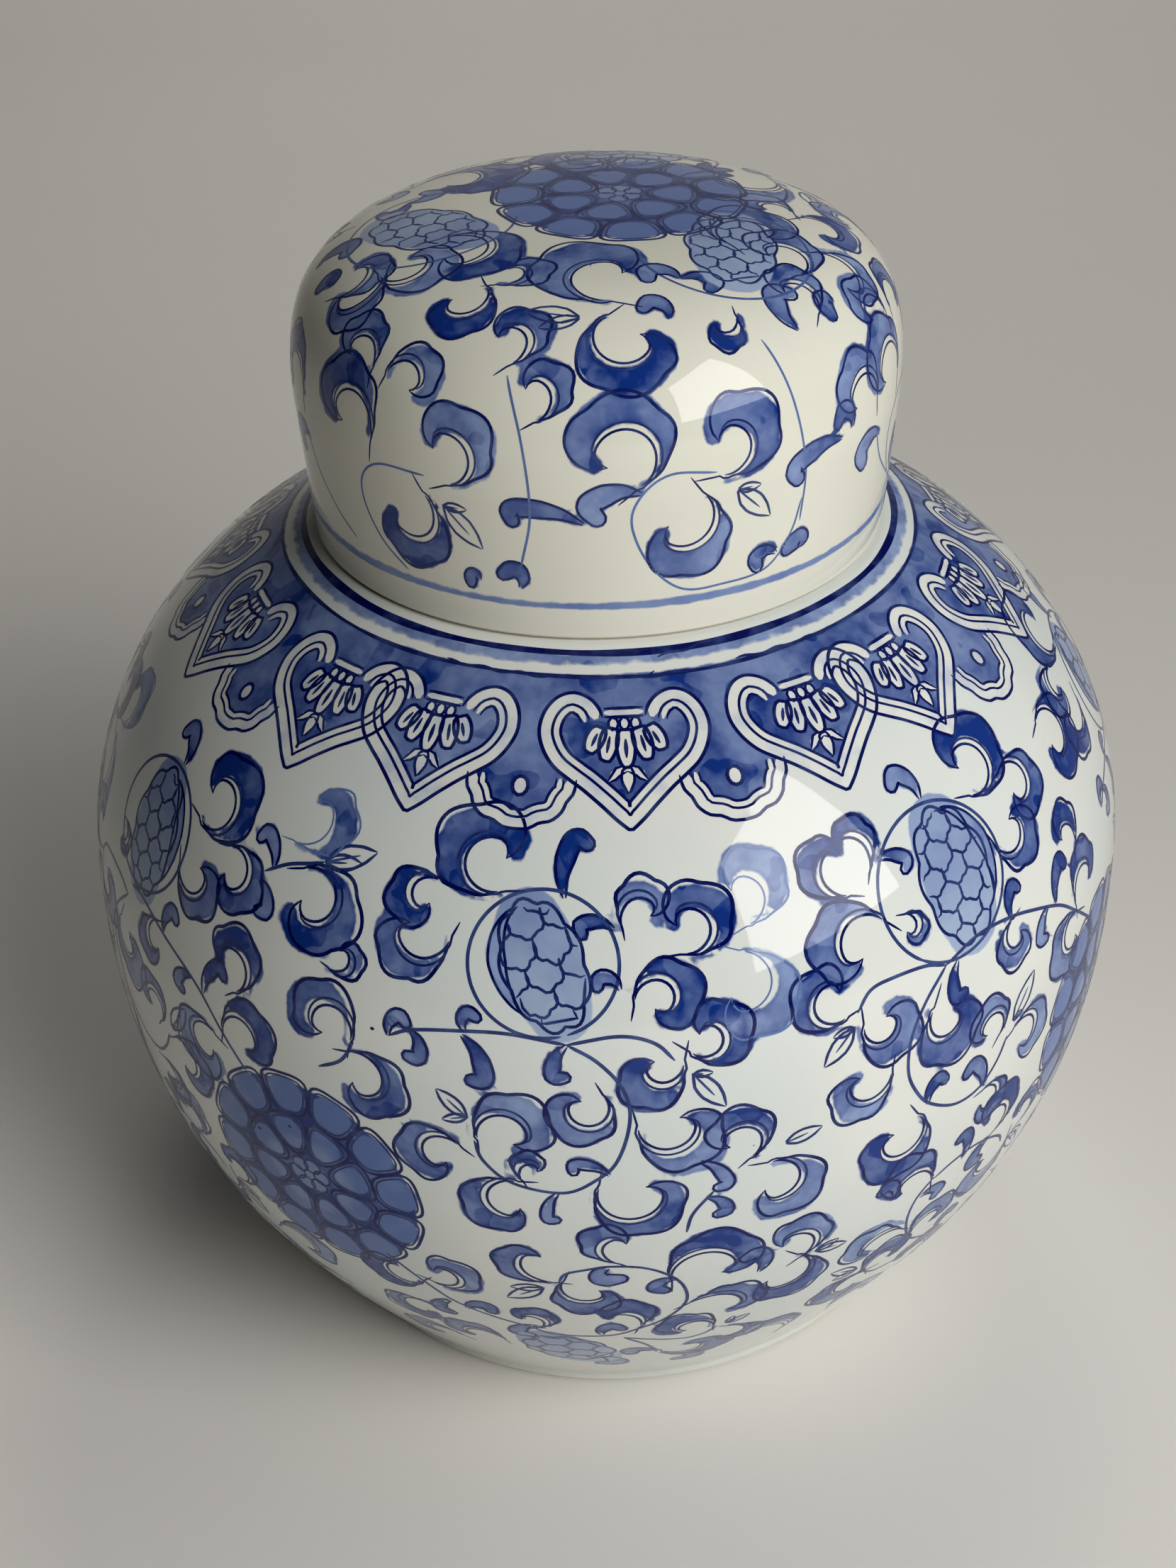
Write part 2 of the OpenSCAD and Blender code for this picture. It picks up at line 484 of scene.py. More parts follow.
def flower(d, az, s, radius, petals=12, turn=0.0, dark=0.95, line=0.7, fill=0.7):
    """A chrysanthemum seen from above: rings of round petals, each outlined twice over a dark ground."""
    steps = np.linspace(0, 1, 7)[:, None]
    for ring in (0.25, 0.5, 0.74):
        a = np.linspace(0, 360, 25)
        d.wash(az, s, polar(np.full(25, radius * ring), a), radius * 0.2, tone=dark)

    def petal(inner, outer, half_angle, angle, power, rim):
        f = np.radians(np.linspace(0, 360, 41)[:-1])
        along = (inner + outer) / 2 + (outer - inner) / 2 * np.sign(np.cos(f)) * np.abs(np.cos(f)) ** power
        across = math.tan(math.radians(half_angle)) * np.maximum(along, outer * 0.35)
        across = across * np.sign(np.sin(f)) * np.abs(np.sin(f)) ** power
        a = math.radians(angle)
        way = np.array([math.cos(a), math.sin(a)])
        side = np.array([-math.sin(a), math.cos(a)])
        shape = along[:, None] * way + across[:, None] * side
        d.flat_line(az, s, shape, line, 0.0, closed=True)
        centre = way * (inner + outer) / 2
        d.flat_line(az, s, centre + (shape - centre) * rim, line * 0.6, 0.15, closed=True)
        half = (outer - inner) / 2 * rim
        mid_w = math.tan(math.radians(half_angle)) * (inner + outer) / 2 * rim
        run = centre + (steps - 0.5) * 2 * max(half - mid_w, 0.1) * way
        d.wash(az, s, run, np.linspace(mid_w * 0.9, mid_w * 1.05, 7) - 0.1, kind="pale", tone=fill)

    for k in range(petals):
        petal(radius * 0.60, radius, 180 / petals * 0.97, turn + 360 / petals * k, 0.62, 0.82)
    inner_count = max(7, round(petals * 0.67))
    for k in range(inner_count):
        angle = turn + 9 + 360 / inner_count * k
        petal(radius * 0.21, radius * 0.61, 180 / inner_count * 0.97, angle, 0.7, 0.8)
    for k in range(6):
        a = 60 * k + turn
        spot = polar(np.array([radius * 0.12]), np.array([a]))[0]
        stamen = spot + polar(np.full(16, radius * 0.075), np.linspace(0, 360, 17)[:-1])
        d.flat_line(az, s, stamen, 0.5, 0.1, closed=True)
    d.wash(az, s, [(0, 0), (0.1, 0)], radius * 0.17, kind="pale", tone=fill)


# ---------------------------------------------------------------- the foliage, as it runs round the jar

# Each leaf: az, s of its hollow, radius of the hollow, angle of its base, angle of its tip, thickness.
MIDDLE_LEAVES = (
    (-13.2, 45.4, 5, -70, -310, 6.5),
    (-19.8, 52.7, 3, 60, 270, 4.7),
    (-19.6, 59.9, 5, -10, -180, 5),
    (2.9, 54.3, 3.3, 200, 20, 3.8),
    (7.9, 57.7, 4, -100, 130, 5),
    (4.1, 69.9, 3.5, 180, -70, 5),
    (8.8, 79.3, 3.2, -140, 105, 5.5),
    (4.6, 83.8, 3.4, 0, -190, 6),
    (-2.6, 92.7, 3.8, 40, -210, 4.5),
    (-10.9, 99.9, 4.8, 195, -20, 5.5),
    (-17.1, 106.6, 4, 40, 265, 5),
    (-8.3, 109, 2.2, 220, 45, 3),
    (-10.4, 116.6, 4.8, 80, 280, 5.5),
    (1.3, 114.9, 6.3, 160, 375, 5),
    (4.9, 97.7, 5.3, 180, 380, 6),
    (12.1, 103.8, 4, -60, 170, 4.5),
    (15.7, 115.4, 5, 100, -110, 5.8),
    (0.3, 131, 3.8, 250, 90, 5),
    (9, 140.5, 6.5, 195, 0, 6.5),
    (18.6, 138.5, 4.5, -60, 130, 5),
    (18, 148, 6, 60, -120, 6),
    (10.6, 158, 6.3, 140, -5, 5),
    (0, 161.5, 4.5, -25, 115, 6),
    (-3.6, 145.5, 4.7, 150, 330, 5.5),
    (-7.3, 137, 5.5, 275, 135, 5),
    (9, 168, 3.6, -5, 195, 5),
    (13.6, 176, 4, 80, -90, 4.8),
    (8.5, 184.5, 4, 200, 420, 6),
    (19, 187, 6.5, -20, 110, 5),
    (-19.3, 147.3, 3.5, 240, 470, 5),
    (-24.2, 150.3, 3.8, -30, -230, 5.3),
    (-24.5, 167.5, 3.6, 70, 290, 5),
    (-10.3, 163, 3, -60, 130, 4.2),
    (-17.5, 179, 4, 0, 190, 5),
    (-24, 187, 4, 30, 210, 5),
)
MIDDLE_GHOSTS = ((13.8, 53.5, 4.4, -80, 105, 5.5), (12.8, 69, 5.6, 80, -110, 6))
# Each comma: head az and s, tail az and s, thickness of the head.
MIDDLE_COMMAS = (
    (-3.9, 39, -5, 51, 4),
    (-3.5, 55.6, 0.2, 56.5, 3),
    (-1.5, 65.3, 0.7, 68, 3),
    (-7, 122, -5.7, 113.8, 2.8),
    (-4.3, 106, -0.7, 109, 3),
    (11, 114, 8, 107, 3.3),
    (11, 121.5, 8.8, 117, 3.2),
    (-21.2, 76.5, -22.3, 81.6, 3.2),
    (-19, 85.5, -20, 79.4, 3.4),
    (-14.3, 73.5, -14.5, 77.7, 3),
    (-12.3, 88, -14.8, 78.5, 4),
    (-6, 86, -4.6, 79, 3.4),
    (14.7, 136.8, 15, 145, 4.4),
    (-1.7, 142, -1, 137, 5),
    (3.6, 145.6, 6, 142.6, 3.8),
    (-0.7, 163, -2, 169, 3.8),
    (1.2, 182.5, 4.3, 184.5, 4.5),
    (-14.8, 157.2, -17.6, 161, 4),
    (-21.6, 165.6, -19.3, 158.6, 3.8),
    (-12.6, 171.4, -9.6, 165, 4.2),
    (11, 197, 8, 190, 5),
    (0, 197, -3, 189, 5),
)
MIDDLE_LEAFLETS = (
    ((7.4, 86), (10.5, 94), (9.3, 86)),
    ((-14.3, 96.5), (-17.3, 91), (-16.8, 98)),
    ((16.5, 106), (20.3, 104)),
    ((21.4, 142.6), (25.2, 143.2), (24, 140.6)),
    ((-8, 145.5), (-12.2, 151.5), (-11.6, 146.4)),
    ((13, 169), (15.6, 165.6), (13.6, 165)),
)
MIDDLE_STEMS = (
    ((-4.6, 78.8), (-10, 77.3), (-14.5, 77.7), (-19.8, 79.3), (-22.3, 81.6)),
    ((-4.6, 78.8), (0.4, 77.1), (3.8, 78.8), (5.7, 82.7)),
    (
        (-4.6, 78.8), (-1.8, 82.1), (0.4, 87.1), (1.3, 92.7), (1, 99.3), (-0.1, 106), (-1.8, 109.9),
        (-5.1, 113.8), (-10.1, 112.1), (-12.9, 107.1), (-13.7, 102.1),
    ),
    ((6.8, 126.5), (7.4, 121), (9.5, 115)),
    (
        (-6.3, 143), (-5.5, 139.5), (-3, 137.5), (-1, 136.5), (2, 137), (4.5, 139.5), (6.5, 144), (7.4, 150),
        (7, 155), (5, 161), (2.5, 165), (-0.5, 169), (-4, 170), (-8, 169.5), (-10.5, 166),
    ),
    ((0.5, 171), (4, 173.5), (8, 175.3), (10.5, 173.5), (11.8, 169.5)),
    ((0.5, 171), (3, 176.5), (4.5, 182), (5, 186)),
    ((-25.5, 143.5), (-21.5, 152.5), (-19, 158), (-15, 162.5), (-10.5, 166)),
)

LEFT_LEAVES = (
    (-49.7, 51.6, 5, -120, 130, 6),
    (-44.1, 61, 4, 115, -110, 4.8),
    (-49.9, 66.6, 4.2, 190, 380, 5.2),
    (-32.7, 58.8, 5, 120, -120, 6),
    (-28.5, 69, 2.5, -120, 60, 3),
    (-28.6, 83.2, 4.4, -20, 200, 5),
    (-25.2, 92.1, 4.7, 110, -105, 5.3),
    (-41.6, 80.4, 4.3, -65, 145, 4.8),
    (-40.2, 94.9, 4.4, 180, -30, 5.3),
    (-54.4, 86, 3.5, 100, 270, 4.5),
    (-45.8, 101.6, 4.2, 55, 300, 6),
)
LEFT_GHOSTS = ((-36, 45, 5, -100, 60, 5),)
LEFT_COMMAS = (
    (-60.4, 42.5, -58.3, 50, 4),
    (-41, 50.4, -38.6, 57, 3.4),
    (-38, 66, -40, 60, 3.4),
    (-43.3, 81, -45.7, 89.9, 3.5),
    (-51.8, 76.5, -53.2, 83.2, 3.4),
    (-50.4, 91.5, -47.6, 88, 3.4),
)
LEFT_LEAFLETS = (((-32.4, 52), (-26.5, 47), (-28, 50)),)
LEFT_STEMS = (
    ((-39.7, 58.2), (-36.9, 55), (-34.1, 53.2), (-32.4, 52)),
    ((-26, 85), (-27.4, 90), (-30, 93.2)),
    ((-61, 80.5), (-58, 80.5), (-53, 83.7), (-48.5, 87.1), (-45.7, 90.5), (-43, 96), (-39.7, 103.2)),
)

RIGHT_LEAVES = (
    (25.5, 52.5, 4.5, 265, 105, 4.5),
    (26.7, 51, 4.2, -35, 100, 3.8),
    (26.2, 67, 5.2, 35, 225, 6),
    (47.1, 45.4, 5, -120, 130, 6),
    (52.7, 53.2, 4, 115, -110, 4.8),
    (48.2, 60.4, 4.2, 190, 380, 5.2),
    (45.4, 80.4, 2.8, 100, 330, 4.3),
    (56.3, 92.1, 3.8, 60, 290, 6),
    (59.9, 84.9, 4.5, 195, 20, 5),
    (58, 72.4, 3.6, -40, 120, 4.5),
    (64.3, 52.8, 5, 120, -120, 6),
)
# The rest of the right group, which is also what the left group has beyond its bud.
OUTER_LEAVES = (
    (31.5, 67, 2, 90, -90, 2.6),
    (34.6, 89.3, 4, 140, 365, 7),
    (21.8, 77, 4, -60, -285, 4.5),
    (26.8, 84.9, 3.5, 170, 390, 6),
    (25.4, 96.6, 4.5, 0, -190, 5),
    (41.3, 98.2, 3.3, -50, 190, 4),
    (46.6, 106, 4.2, 130, -80, 4.8),
    (29.9, 114.9, 5, 45, -190, 6),
    (41.5, 117, 3, 110, -120, 4),
    (32.6, 133, 4.5, 0, 165, 6.5),
    (44, 126.8, 3.8, -70, 140, 5.3),
    (51, 134, 3.3, -80, 130, 4),
    (46.3, 141.5, 4.8, 10, -170, 6),
    (30.8, 152, 5, 40, 195, 5.5),
    (37.6, 152.8, 3.6, 205, 0, 4.8),
    (32.3, 161, 3.4, 215, 10, 5),
    (29.5, 168, 4.2, 75, 275, 5.5),
    (40, 172, 4.5, -60, 140, 5),
    (50, 160, 4.5, 60, -120, 5),
    (48, 178, 4.2, 20, 200, 5),
    (33, 184, 4.5, 200, 30, 5),
    (57, 152, 4.5, 150, -40, 5.5),
    (58, 170, 4.2, 60, 270, 5),
)
OUTER_COMMAS = (
    (36.1, 38.4, 38.2, 45.4, 4),
    (33.8, 55, 29.9, 52.7, 3),
    (36, 86.5, 36.8, 78.2, 3.4),
    (46.3, 70, 45.2, 76.5, 3.2),
    (49.3, 86.5, 51.6, 80.4, 3.4),
    (55.4, 73.2, 53.2, 81.5, 3.8),
    (34, 102.7, 32.7, 108.8, 3.4),
    (38.8, 104.3, 40.4, 112.7, 4),
    (29, 128, 30, 133, 3.5),
    (39.3, 124, 39.6, 132.5, 3.5),
    (41.6, 138, 44, 132, 4.3),
    (37.5, 139.3, 34.2, 138.5, 3.5),
    (42.5, 156, 42, 162, 4),
)
OUTER_LEAFLETS = (
    ((23.8, 83.2), (20.4, 89.9), (21.5, 84)),
    ((44.6, 100.4), (48.1, 91.6), (46, 99)),
    ((49.3, 140), (52.8, 148), (52.8, 142.4)),
    ((28.8, 160), (24.8, 156.5), (25.6, 161)),
)
OUTER_STEMS = (
    ((35.2, 78), (39.9, 75.5), (44.9, 76.2), (49.3, 78.8), (53.8, 82.7), (57.1, 87.7), (62, 96)),
    (
        (35.2, 78), (32.1, 83.8), (30.2, 90.4), (29.9, 98.2), (31.3, 104.9), (33.2, 109.3), (36.6, 112.9),
        (39.9, 112.4), (42.4, 108.2), (43.8, 103.2),
    ),
    ((35.2, 78), (32.7, 76.2), (28.8, 75.8), (26, 76.6), (24.3, 80.4)),
    ((35.5, 133.5), (33.8, 138), (33.4, 144), (34.3, 151), (36, 157), (39, 161.5), (42, 163.5)),
    ((35.5, 134), (38, 131.8), (41, 131), (44, 132.5), (46.5, 135.5), (47.5, 139)),
    ((30.5, 164), (33, 167.5), (37, 168.5), (40, 167.5)),
)
# Tiny pits in the glaze, as az and s: each is drawn as a flat dark dot of painted shade.
PIT_SHADE_SPOTS = ((-24, 81), (-34.5, 112.5), (-39, 117.7), (71, 96), (140, 60), (-150, 130))
# The printed sheets: how far each repeat of the side group and of the middle group is turned and raised.
SHEET_TURN = 97.1
SIDE_REPEATS = ((0.0, 0.0), (87.6, 3.0), (175.3, 4.0))
MIDDLE_REPEATS = ((0.0, 0.0), (92.0, -4.0), (179.6, -1.0), (267.3, 2.0))


def moved(entries, turn, drop, places=1):
    """The same entries turned round the jar and lowered. Each begins with this many (az, s) places."""
    out = []
    for e in entries:
        new = list(e)
        for k in range(places):
            new[2 * k] += turn
            new[2 * k + 1] += drop
        out.append(new)
    return out


def moved_places(entries, turn, drop):
    return [[(a + turn, b + drop) for a, b in e] for e in entries]


def draw_group(d, turn, drop, leaves=(), ghosts=(), commas=(), pointed=(), stems=(), stem_tone=0.2):
    for places in moved_places(stems, turn, drop):
        d.path(places, 0.75 if stem_tone < 0.5 else 0.6, stem_tone)
    for e in moved(ghosts, turn, drop):
        leaf(d, *e, ghost=True)
    for e in moved(leaves, turn, drop):
        leaf(d, *e)
    for a, b, a2, b2, thick in moved(commas, turn, drop, 2):
        comma(d, (a, b), (a2, b2), thick, tone=d.rng.uniform(0.35, 0.8))
    for places in moved_places(pointed, turn, drop):
        leaflets(d, *places)


@functools.lru_cache(maxsize=None)
def jar_foliage():
    """All the painted foliage below the collar."""
    d = Drawing(jar_skin(), 7)
    draw_group(d, 0, 0, LEFT_LEAVES, LEFT_GHOSTS, LEFT_COMMAS, LEFT_LEAFLETS, LEFT_STEMS)
    scaled_bud(d, -59.1, 66, 8.2, 13.5, 2, 1)
    ring_stem(d, -59.7, 64.9, 14.3, -120, 250)
    draw_group(d, -SHEET_TURN, 6, OUTER_LEAVES, (), OUTER_COMMAS[8:], OUTER_LEAFLETS, OUTER_STEMS[1:])
    flower(d, -33, 124.9, 26.7, 12, 8)
    for turn, drop in SIDE_REPEATS:
        draw_group(d, turn, drop, RIGHT_LEAVES + OUTER_LEAVES, (), OUTER_COMMAS, OUTER_LEAFLETS, OUTER_STEMS)
        scaled_bud(d, 39.2 + turn, 62.1 + drop, 8.6, 13.9, 4, 1)
        ring_stem(d, 37.4 + turn, 62.1 + drop, 16, -130, 235)
        flower(d, 65 + turn, 118 + drop, 26.7, 12, 3)
    for turn, drop in MIDDLE_REPEATS:
        draw_group(d, turn, drop, MIDDLE_LEAVES, MIDDLE_GHOSTS, MIDDLE_COMMAS, MIDDLE_LEAFLETS, MIDDLE_STEMS)
        scaled_bud(d, -6.9 + turn, 63.8 + drop, 7.6, 12.6, 20, -1)
        ring_stem(d, -7 + turn, 63.5 + drop, 14.3, -70, 285)
        scaled_bud(d, -6.5 + turn, 182 + drop, 9, 10.5, 30, 0)
    # Dark dots of painted shade where the glaze has tiny pits.
    for az, s in PIT_SHADE_SPOTS:
        pit_shade_dot(d, az, s)
    return d


# ---------------------------------------------------------------- the collar under the lid

LAPPET_PITCH = 72.0
LAPPET_FIRST = 2.5
LAPPET_SIDE = 27.0
# Right half of a lappet's edge from its tip round its lobe to the bar, as degrees from its middle and s.
LAPPET_EDGE = (
    (0, 38.6), (1.6, 36.4), (3.4, 33.6), (5.6, 30.6), (7.4, 28.6), (9.6, 26), (11.2, 22.6), (12.0, 18.8),
    (11.5, 14.8), (9.8, 11.8), (7.4, 10.8), (5.1, 11.9), (3.7, 13.9), (3.1, 16),
)
# Right half of a pendant's edge, from its lowest point up to where it goes behind the lappet.
PENDANT_TOP = 28.6
PENDANT_EDGE = (
    (0, 39), (1.5, 38.7), (2.7, 37.5), (4, 37), (5.2, 35.2), (5.7, 33.2), (6.5, 31.4), (6.8, PENDANT_TOP),
)
PENDANT_WIDEN = 6.9 / 6.7
# A gap between lappets holds a pendant when it is at least this many degrees.
PENDANT_GAP = 20
# The collar's dark ground runs between these two s, above the lappets' tips. Foliage stops at the second.
GROUND_TOP, GROUND_FOOT = 6.9, 24.0
COLLAR_REACH = 46
# Stray strokes of the brush across the rings: start and end in degrees, and their s.
STRAY_STROKES = (
    (-27, -8, 6.9, 7.5), (4, 14, 7.9, 7.4), (22, 40, 6.9, 7.3), (9, 20, 3.6, 1.6), (6, 8, 8.2, 6.4),
)


def lappet_centres():
    """Middles of the fifteen lappets: five printed segments of three, which overlap a little at the joins."""
    out = []
    for k in range(5):
        for side in (-1, 0, 1):
            out.append(LAPPET_FIRST + LAPPET_PITCH * k + LAPPET_SIDE * side)
    return out


def mirrored(half):
    """The whole outline from its right half, as a list from the left end round to the right end."""
    right = curve_through(half, 0.25)
    left = right[::-1] * (-1, 1)
    return np.vstack([left[:-1], right])


def pulled_in(outline, distance, skin):
    """An outline in degrees and s moved inwards by a distance in mm."""
    scale = np.stack([np.radians(1) * skin.radius(outline[:, 1]), np.ones(len(outline))], 1)
    way = np.gradient(outline * scale, axis=0)
    way /= np.linalg.norm(way, axis=1)[:, None] + 1e-9
    side = np.stack([-way[:, 1], way[:, 0]], 1)
    towards = np.array([0, GROUND_FOOT]) - outline
    sign = np.sign((side * towards * scale).sum(1).mean())
    shape = outline + sign * distance * side / scale
    if distance > 0:
        shape = shape[shape[:, 0] * np.sign(outline[:, 0] + 1e-9) > -0.02]
    return shape


def inside_shape(az, s, outline, centre, skin):
    """Signed distance in mm from places to a closed outline given in degrees and s round a centre."""
    step = np.radians(1)
    p = np.stack([((az - centre + 180) % 360 - 180) * step * skin.radius(s), s], 1)
    q = np.stack([outline[:, 0] * step * skin.radius(outline[:, 1]), outline[:, 1]], 1)
    a, b = q, np.roll(q, -1, axis=0)
    ab = b - a
    t = np.clip(((p[:, None] - a) * ab).sum(2) / ((ab**2).sum(1) + 1e-9), 0, 1)
    dist = np.linalg.norm(p[:, None] - (a + t[..., None] * ab), axis=2).min(1)
    crosses = (a[:, 1] > p[:, 1:2]) != (b[:, 1] > p[:, 1:2])
    x = a[:, 0] + (p[:, 1:2] - a[:, 1]) / np.where(ab[:, 1] == 0, 1e-9, ab[:, 1]) * ab[:, 0]
    odd = (crosses & (p[:, 0:1] < x)).sum(1) % 2 == 1
    return np.where(odd, -dist, dist)


def draw_lappet(lines, bands, centre):
    """One lappet: two white bands between dark lines, a bar, a fan of petals and a small finial."""
    skin = lines.skin
    edge = mirrored(LAPPET_EDGE)
    for depth, width, tone in ((0.0, 0.7, 0.0), (2.5, 0.55, 0.0), (4.1, 0.6, 0.0)):
        shape = pulled_in(edge, depth, skin)
        if depth > 0:
            # The inner lines stop short inside the lobes, where the outer band curls to its end.
            keep = (shape[:, 1] > 12.4 + depth * 0.35) | (np.abs(shape[:, 0]) > 5.6)
            shape = shape[keep]
        lines.line(centre + shape[:, 0], shape[:, 1], width, tone, layer=1)
    outer = pulled_in(edge, 1.25, skin)
    bands.line(centre + outer[:, 0], outer[:, 1], 2.4, 0.0)
    inner = pulled_in(edge, 3.35, skin)
    inner = inner[(inner[:, 1] > 13.6) | (np.abs(inner[:, 0]) > 6)]
    bands.line(centre + inner[:, 0], inner[:, 1], 1.2, 0.0)
    # The bar between the lobes, and the three beads under it.
    bar = np.linspace(-2.9, 2.9, 9)
    bands.line(centre + bar, np.full(9, 15.1), 1.5, 0.0)
    lines.line(centre + bar, np.full(9, 14.2), 0.7, 0.0, layer=1)
    lines.line(centre + bar, np.full(9, 16.0), 0.7, 0.0, layer=1)
    place = (centre, 17.4)
    for x in (-2.1, 0.0, 2.1):
        oval = polar(np.ones(18), np.linspace(0, 360, 19)[:-1]) * (0.95, 1.35) + (x, 0)
        bands.flat_line(*place, [(x, 1.2), (x, 0), (x, -1.2)], np.array([1.2, 1.9, 1.2]), 0.0)
        lines.flat_line(*place, oval, 0.55, 0.0, layer=1, closed=True)
    # The fan: five petals with a slit down each.
    for x, lean, length in ((-6.3, -27, 5.6), (-3.5, -13, 6.8), (0, 0, 7.6), (3.5, 13, 6.8), (6.3, 27, 5.6)):
        a = math.radians(-90 + lean)
        way = np.array([math.cos(a), math.sin(a)])
        side = np.array([-way[1], way[0]])
        root = np.array([x * 0.72, -1.3 + abs(x) * 0.12])
        t = np.linspace(0, 1, 9)[:, None]
        spine = root + way * length * t
        half = 1.75 * np.sin(math.pi * np.clip(0.14 + 0.8 * t[:, 0], 0, 1)) ** 0.5
        bands.flat_line(*place, spine, 2 * half, 0.0)
        rim = np.vstack([spine + side * half[:, None], (spine - side * half[:, None])[::-1]])
        lines.flat_line(*place, rim, 0.7, 0.0, layer=1, closed=True)
        lines.flat_line(*place, spine[2:7], 0.85, 0.05, layer=1)
    # The finial: two swept leaves over a pointed one.
    for way in (-1, 1):
        swept = curve_through([(0, -9.2), (1.8 * way, -9.8), (3.9 * way, -11.8)], 0.5)
        half = np.interp(np.linspace(0, 1, len(swept)), [0, 0.5, 1], [0.5, 1.1, 0.1])
        bands.flat_line(*place, swept, 2 * half, 0.0)
        lines.flat_line(*place, swept + (0, 1) * half[:, None], 0.55, 0.0, layer=1)
        lines.flat_line(*place, swept - (0, 1) * half[:, None], 0.55, 0.0, layer=1)
    drop = np.stack([np.zeros(9), np.linspace(-9.0, -14.2, 9)], 1)
    half = np.array([0.7, 1.0, 1.15, 1.25, 1.2, 1.0, 0.7, 0.4, 0.1])
    bands.flat_line(*place, drop, 2 * half, 0.0)
    rim = np.vstack([drop + (1, 0) * half[:, None], (drop - (1, 0) * half[:, None])[::-1]])
    lines.flat_line(*place, rim, 0.55, 0.0, layer=1, closed=True)


def draw_pendant(lines, bands, centre, drop):
    """One pendant between two lappets: three lines with white between, and a ringed dot."""
    skin = lines.skin
    edge = mirrored(PENDANT_EDGE)
    edge[:, 0] *= PENDANT_WIDEN
    edge[:, 1] += (edge[:, 1] - PENDANT_TOP) / 10 * drop
    for depth, width in ((0.0, 0.65), (2.3, 0.5), (3.7, 0.55)):
        shape = pulled_in(edge, depth, skin)
        lines.line(centre + shape[:, 0], shape[:, 1], width, 0.0, layer=1)
    for depth, width in ((1.15, 2.2), (3.0, 1.2)):
        shape = pulled_in(edge, depth, skin)
        bands.line(centre + shape[:, 0], shape[:, 1], width, 0.0)
    spot = (centre, 30.2)
    disc = [(0, 1.8), (0, 1.3), (0, 0), (0, -1.3), (0, -1.8)]
    bands.flat_line(*spot, disc, np.array([0.9, 2.2, 2.8, 2.2, 0.9]), 0.0)
    oval = polar(np.ones(24), np.linspace(0, 360, 25)[:-1]) * (1.5, 1.9)
    lines.flat_line(*spot, oval, 0.75, 0.05, layer=1, closed=True)


@functools.lru_cache(maxsize=None)
def collar():
    """The printed collar: its dark lines and white bands, and the middles of its lappets and pendants."""
    lines = Drawing(jar_skin(), 3)
    bands = Drawing(jar_skin(), 4)
    centres = lappet_centres()
    hanging = []
    for c, following in zip(centres, centres[1:] + centres[:1]):
        gap = (following - c) % 360
        if gap > PENDANT_GAP:
            hanging.append(c + gap / 2)
    for middle in hanging:
        draw_pendant(lines, bands, middle, lines.rng.uniform(-0.6, 1.4))
    for c in centres:
        draw_lappet(lines, bands, c)
    around = np.linspace(-180, 180, 361)[:-1]
    a = np.radians(around)
    wave = 0.14 * np.sin(3 * a + 1) + 0.1 * np.sin(7 * a)
    lines.line(around, 2.0 + wave, 1.5 + 0.25 * np.sin(5 * a) + 0.12 * np.sin(17 * a), 0.0, closed=True)
    lines.line(around, 7.3 + 1.6 * wave, 0.62 + 0.35 * np.sin(6 * a + 2) ** 2, 0.05, closed=True)
    for start, end, s0, s1 in STRAY_STROKES:
        run = np.linspace(start, end, 24)
        lines.line(run, np.linspace(s0, s1, 24) + 0.3 * np.sin(run), 0.6, 0.1, layer=1)
    return lines, bands, centres, hanging


def collar_ground(az, s):
    """Signed distance in mm from places to the collar's blue ground, and the tone of its wash there."""
    skin = jar_skin()
    _, _, centres, hanging = collar()
    ground = np.maximum(GROUND_TOP - s, s - GROUND_FOOT)
    shade = 0.55 + 0.25 * np.sin(np.radians(az) * 5 + 1) ** 2
    lappet = pulled_in(mirrored(LAPPET_EDGE), 1.25, skin)
    pendant = np.vstack([pulled_in(mirrored(PENDANT_EDGE), 1.15, skin), [(5, 20), (-5, 20)]])
    for k, c in enumerate(centres):
        within = inside_shape(az, s, lappet, c, skin)
        shade[within < 0] = 0.4 + 0.5 * ((k * 7) % 5) / 5
        ground = np.minimum(ground, within)
    for c in hanging:
        ground = np.minimum(ground, inside_shape(az, s, pendant, c, skin))
    return np.minimum(ground, NO_WASH), shade


# ---------------------------------------------------------------- the lid's painting

LID_LEAVES = (
    (2.5, 35.8, 6.3, -95, -305, 8.5),
    (5, 52, 5.4, 118, 345, 6),
    (-18.5, 54, 3.8, -60, 120, 5),
    (-12, 64, 3.6, -70, 100, 4.5),
    (4, 75, 5.8, -62, 178, 6.5),
    (14.5, 88.5, 5.6, 48, -140, 6.2),
    (22.3, 75.5, 4.6, -100, 110, 7),
    (-27.5, 77, 4.8, -80, 125, 6),
    (-36, 90, 5.6, 45, -145, 5.8),
    (-49.5, 63, 4, -10, 165, 5),
    (-37.5, 64.5, 3.8, 170, -10, 4.5),
    (-49, 75, 5.5, -20, 180, 6.5),
    (-53, 33, 6, 165, -50, 6.5),
    (-58.5, 43, 4.6, -110, 100, 6),
    (-27, 36, 3, -80, 90, 5),
    (-33, 45, 4.2, 60, -130, 5),
    (-68, 52, 4, -60, 110, 5),
    (55, 76, 5, -10, 170, 5.5),
    (64, 52, 6, 60, -80, 5),
    (27, 51.5, 2.5, 0, -150, 3.6),
)
LID_COMMAS = (
    (16, 33.5, 24.5, 38, 4.5),
    (33, 41.5, 24.5, 38, 4),
    (13, 43, 16, 48.6, 4),
    (43.5, 48, 42, 58, 5),
    (52.5, 54.5, 55.5, 56, 4.5),
    (-16.5, 85, -3, 88, 4.2),
    (-3, 84, 7, 82, 5),
    (35, 83, 48, 81, 4.6),
    (47.6, 75, 51, 80, 4),
    (54, 87, 62, 86, 5),
    (-24.5, 101, -22.6, 102, 3),
    (-16, 98, -15, 102.6, 4),
    (28, 100, 33, 100.4, 3.6),
    (38, 98.4, 38.4, 101, 4.6),
)
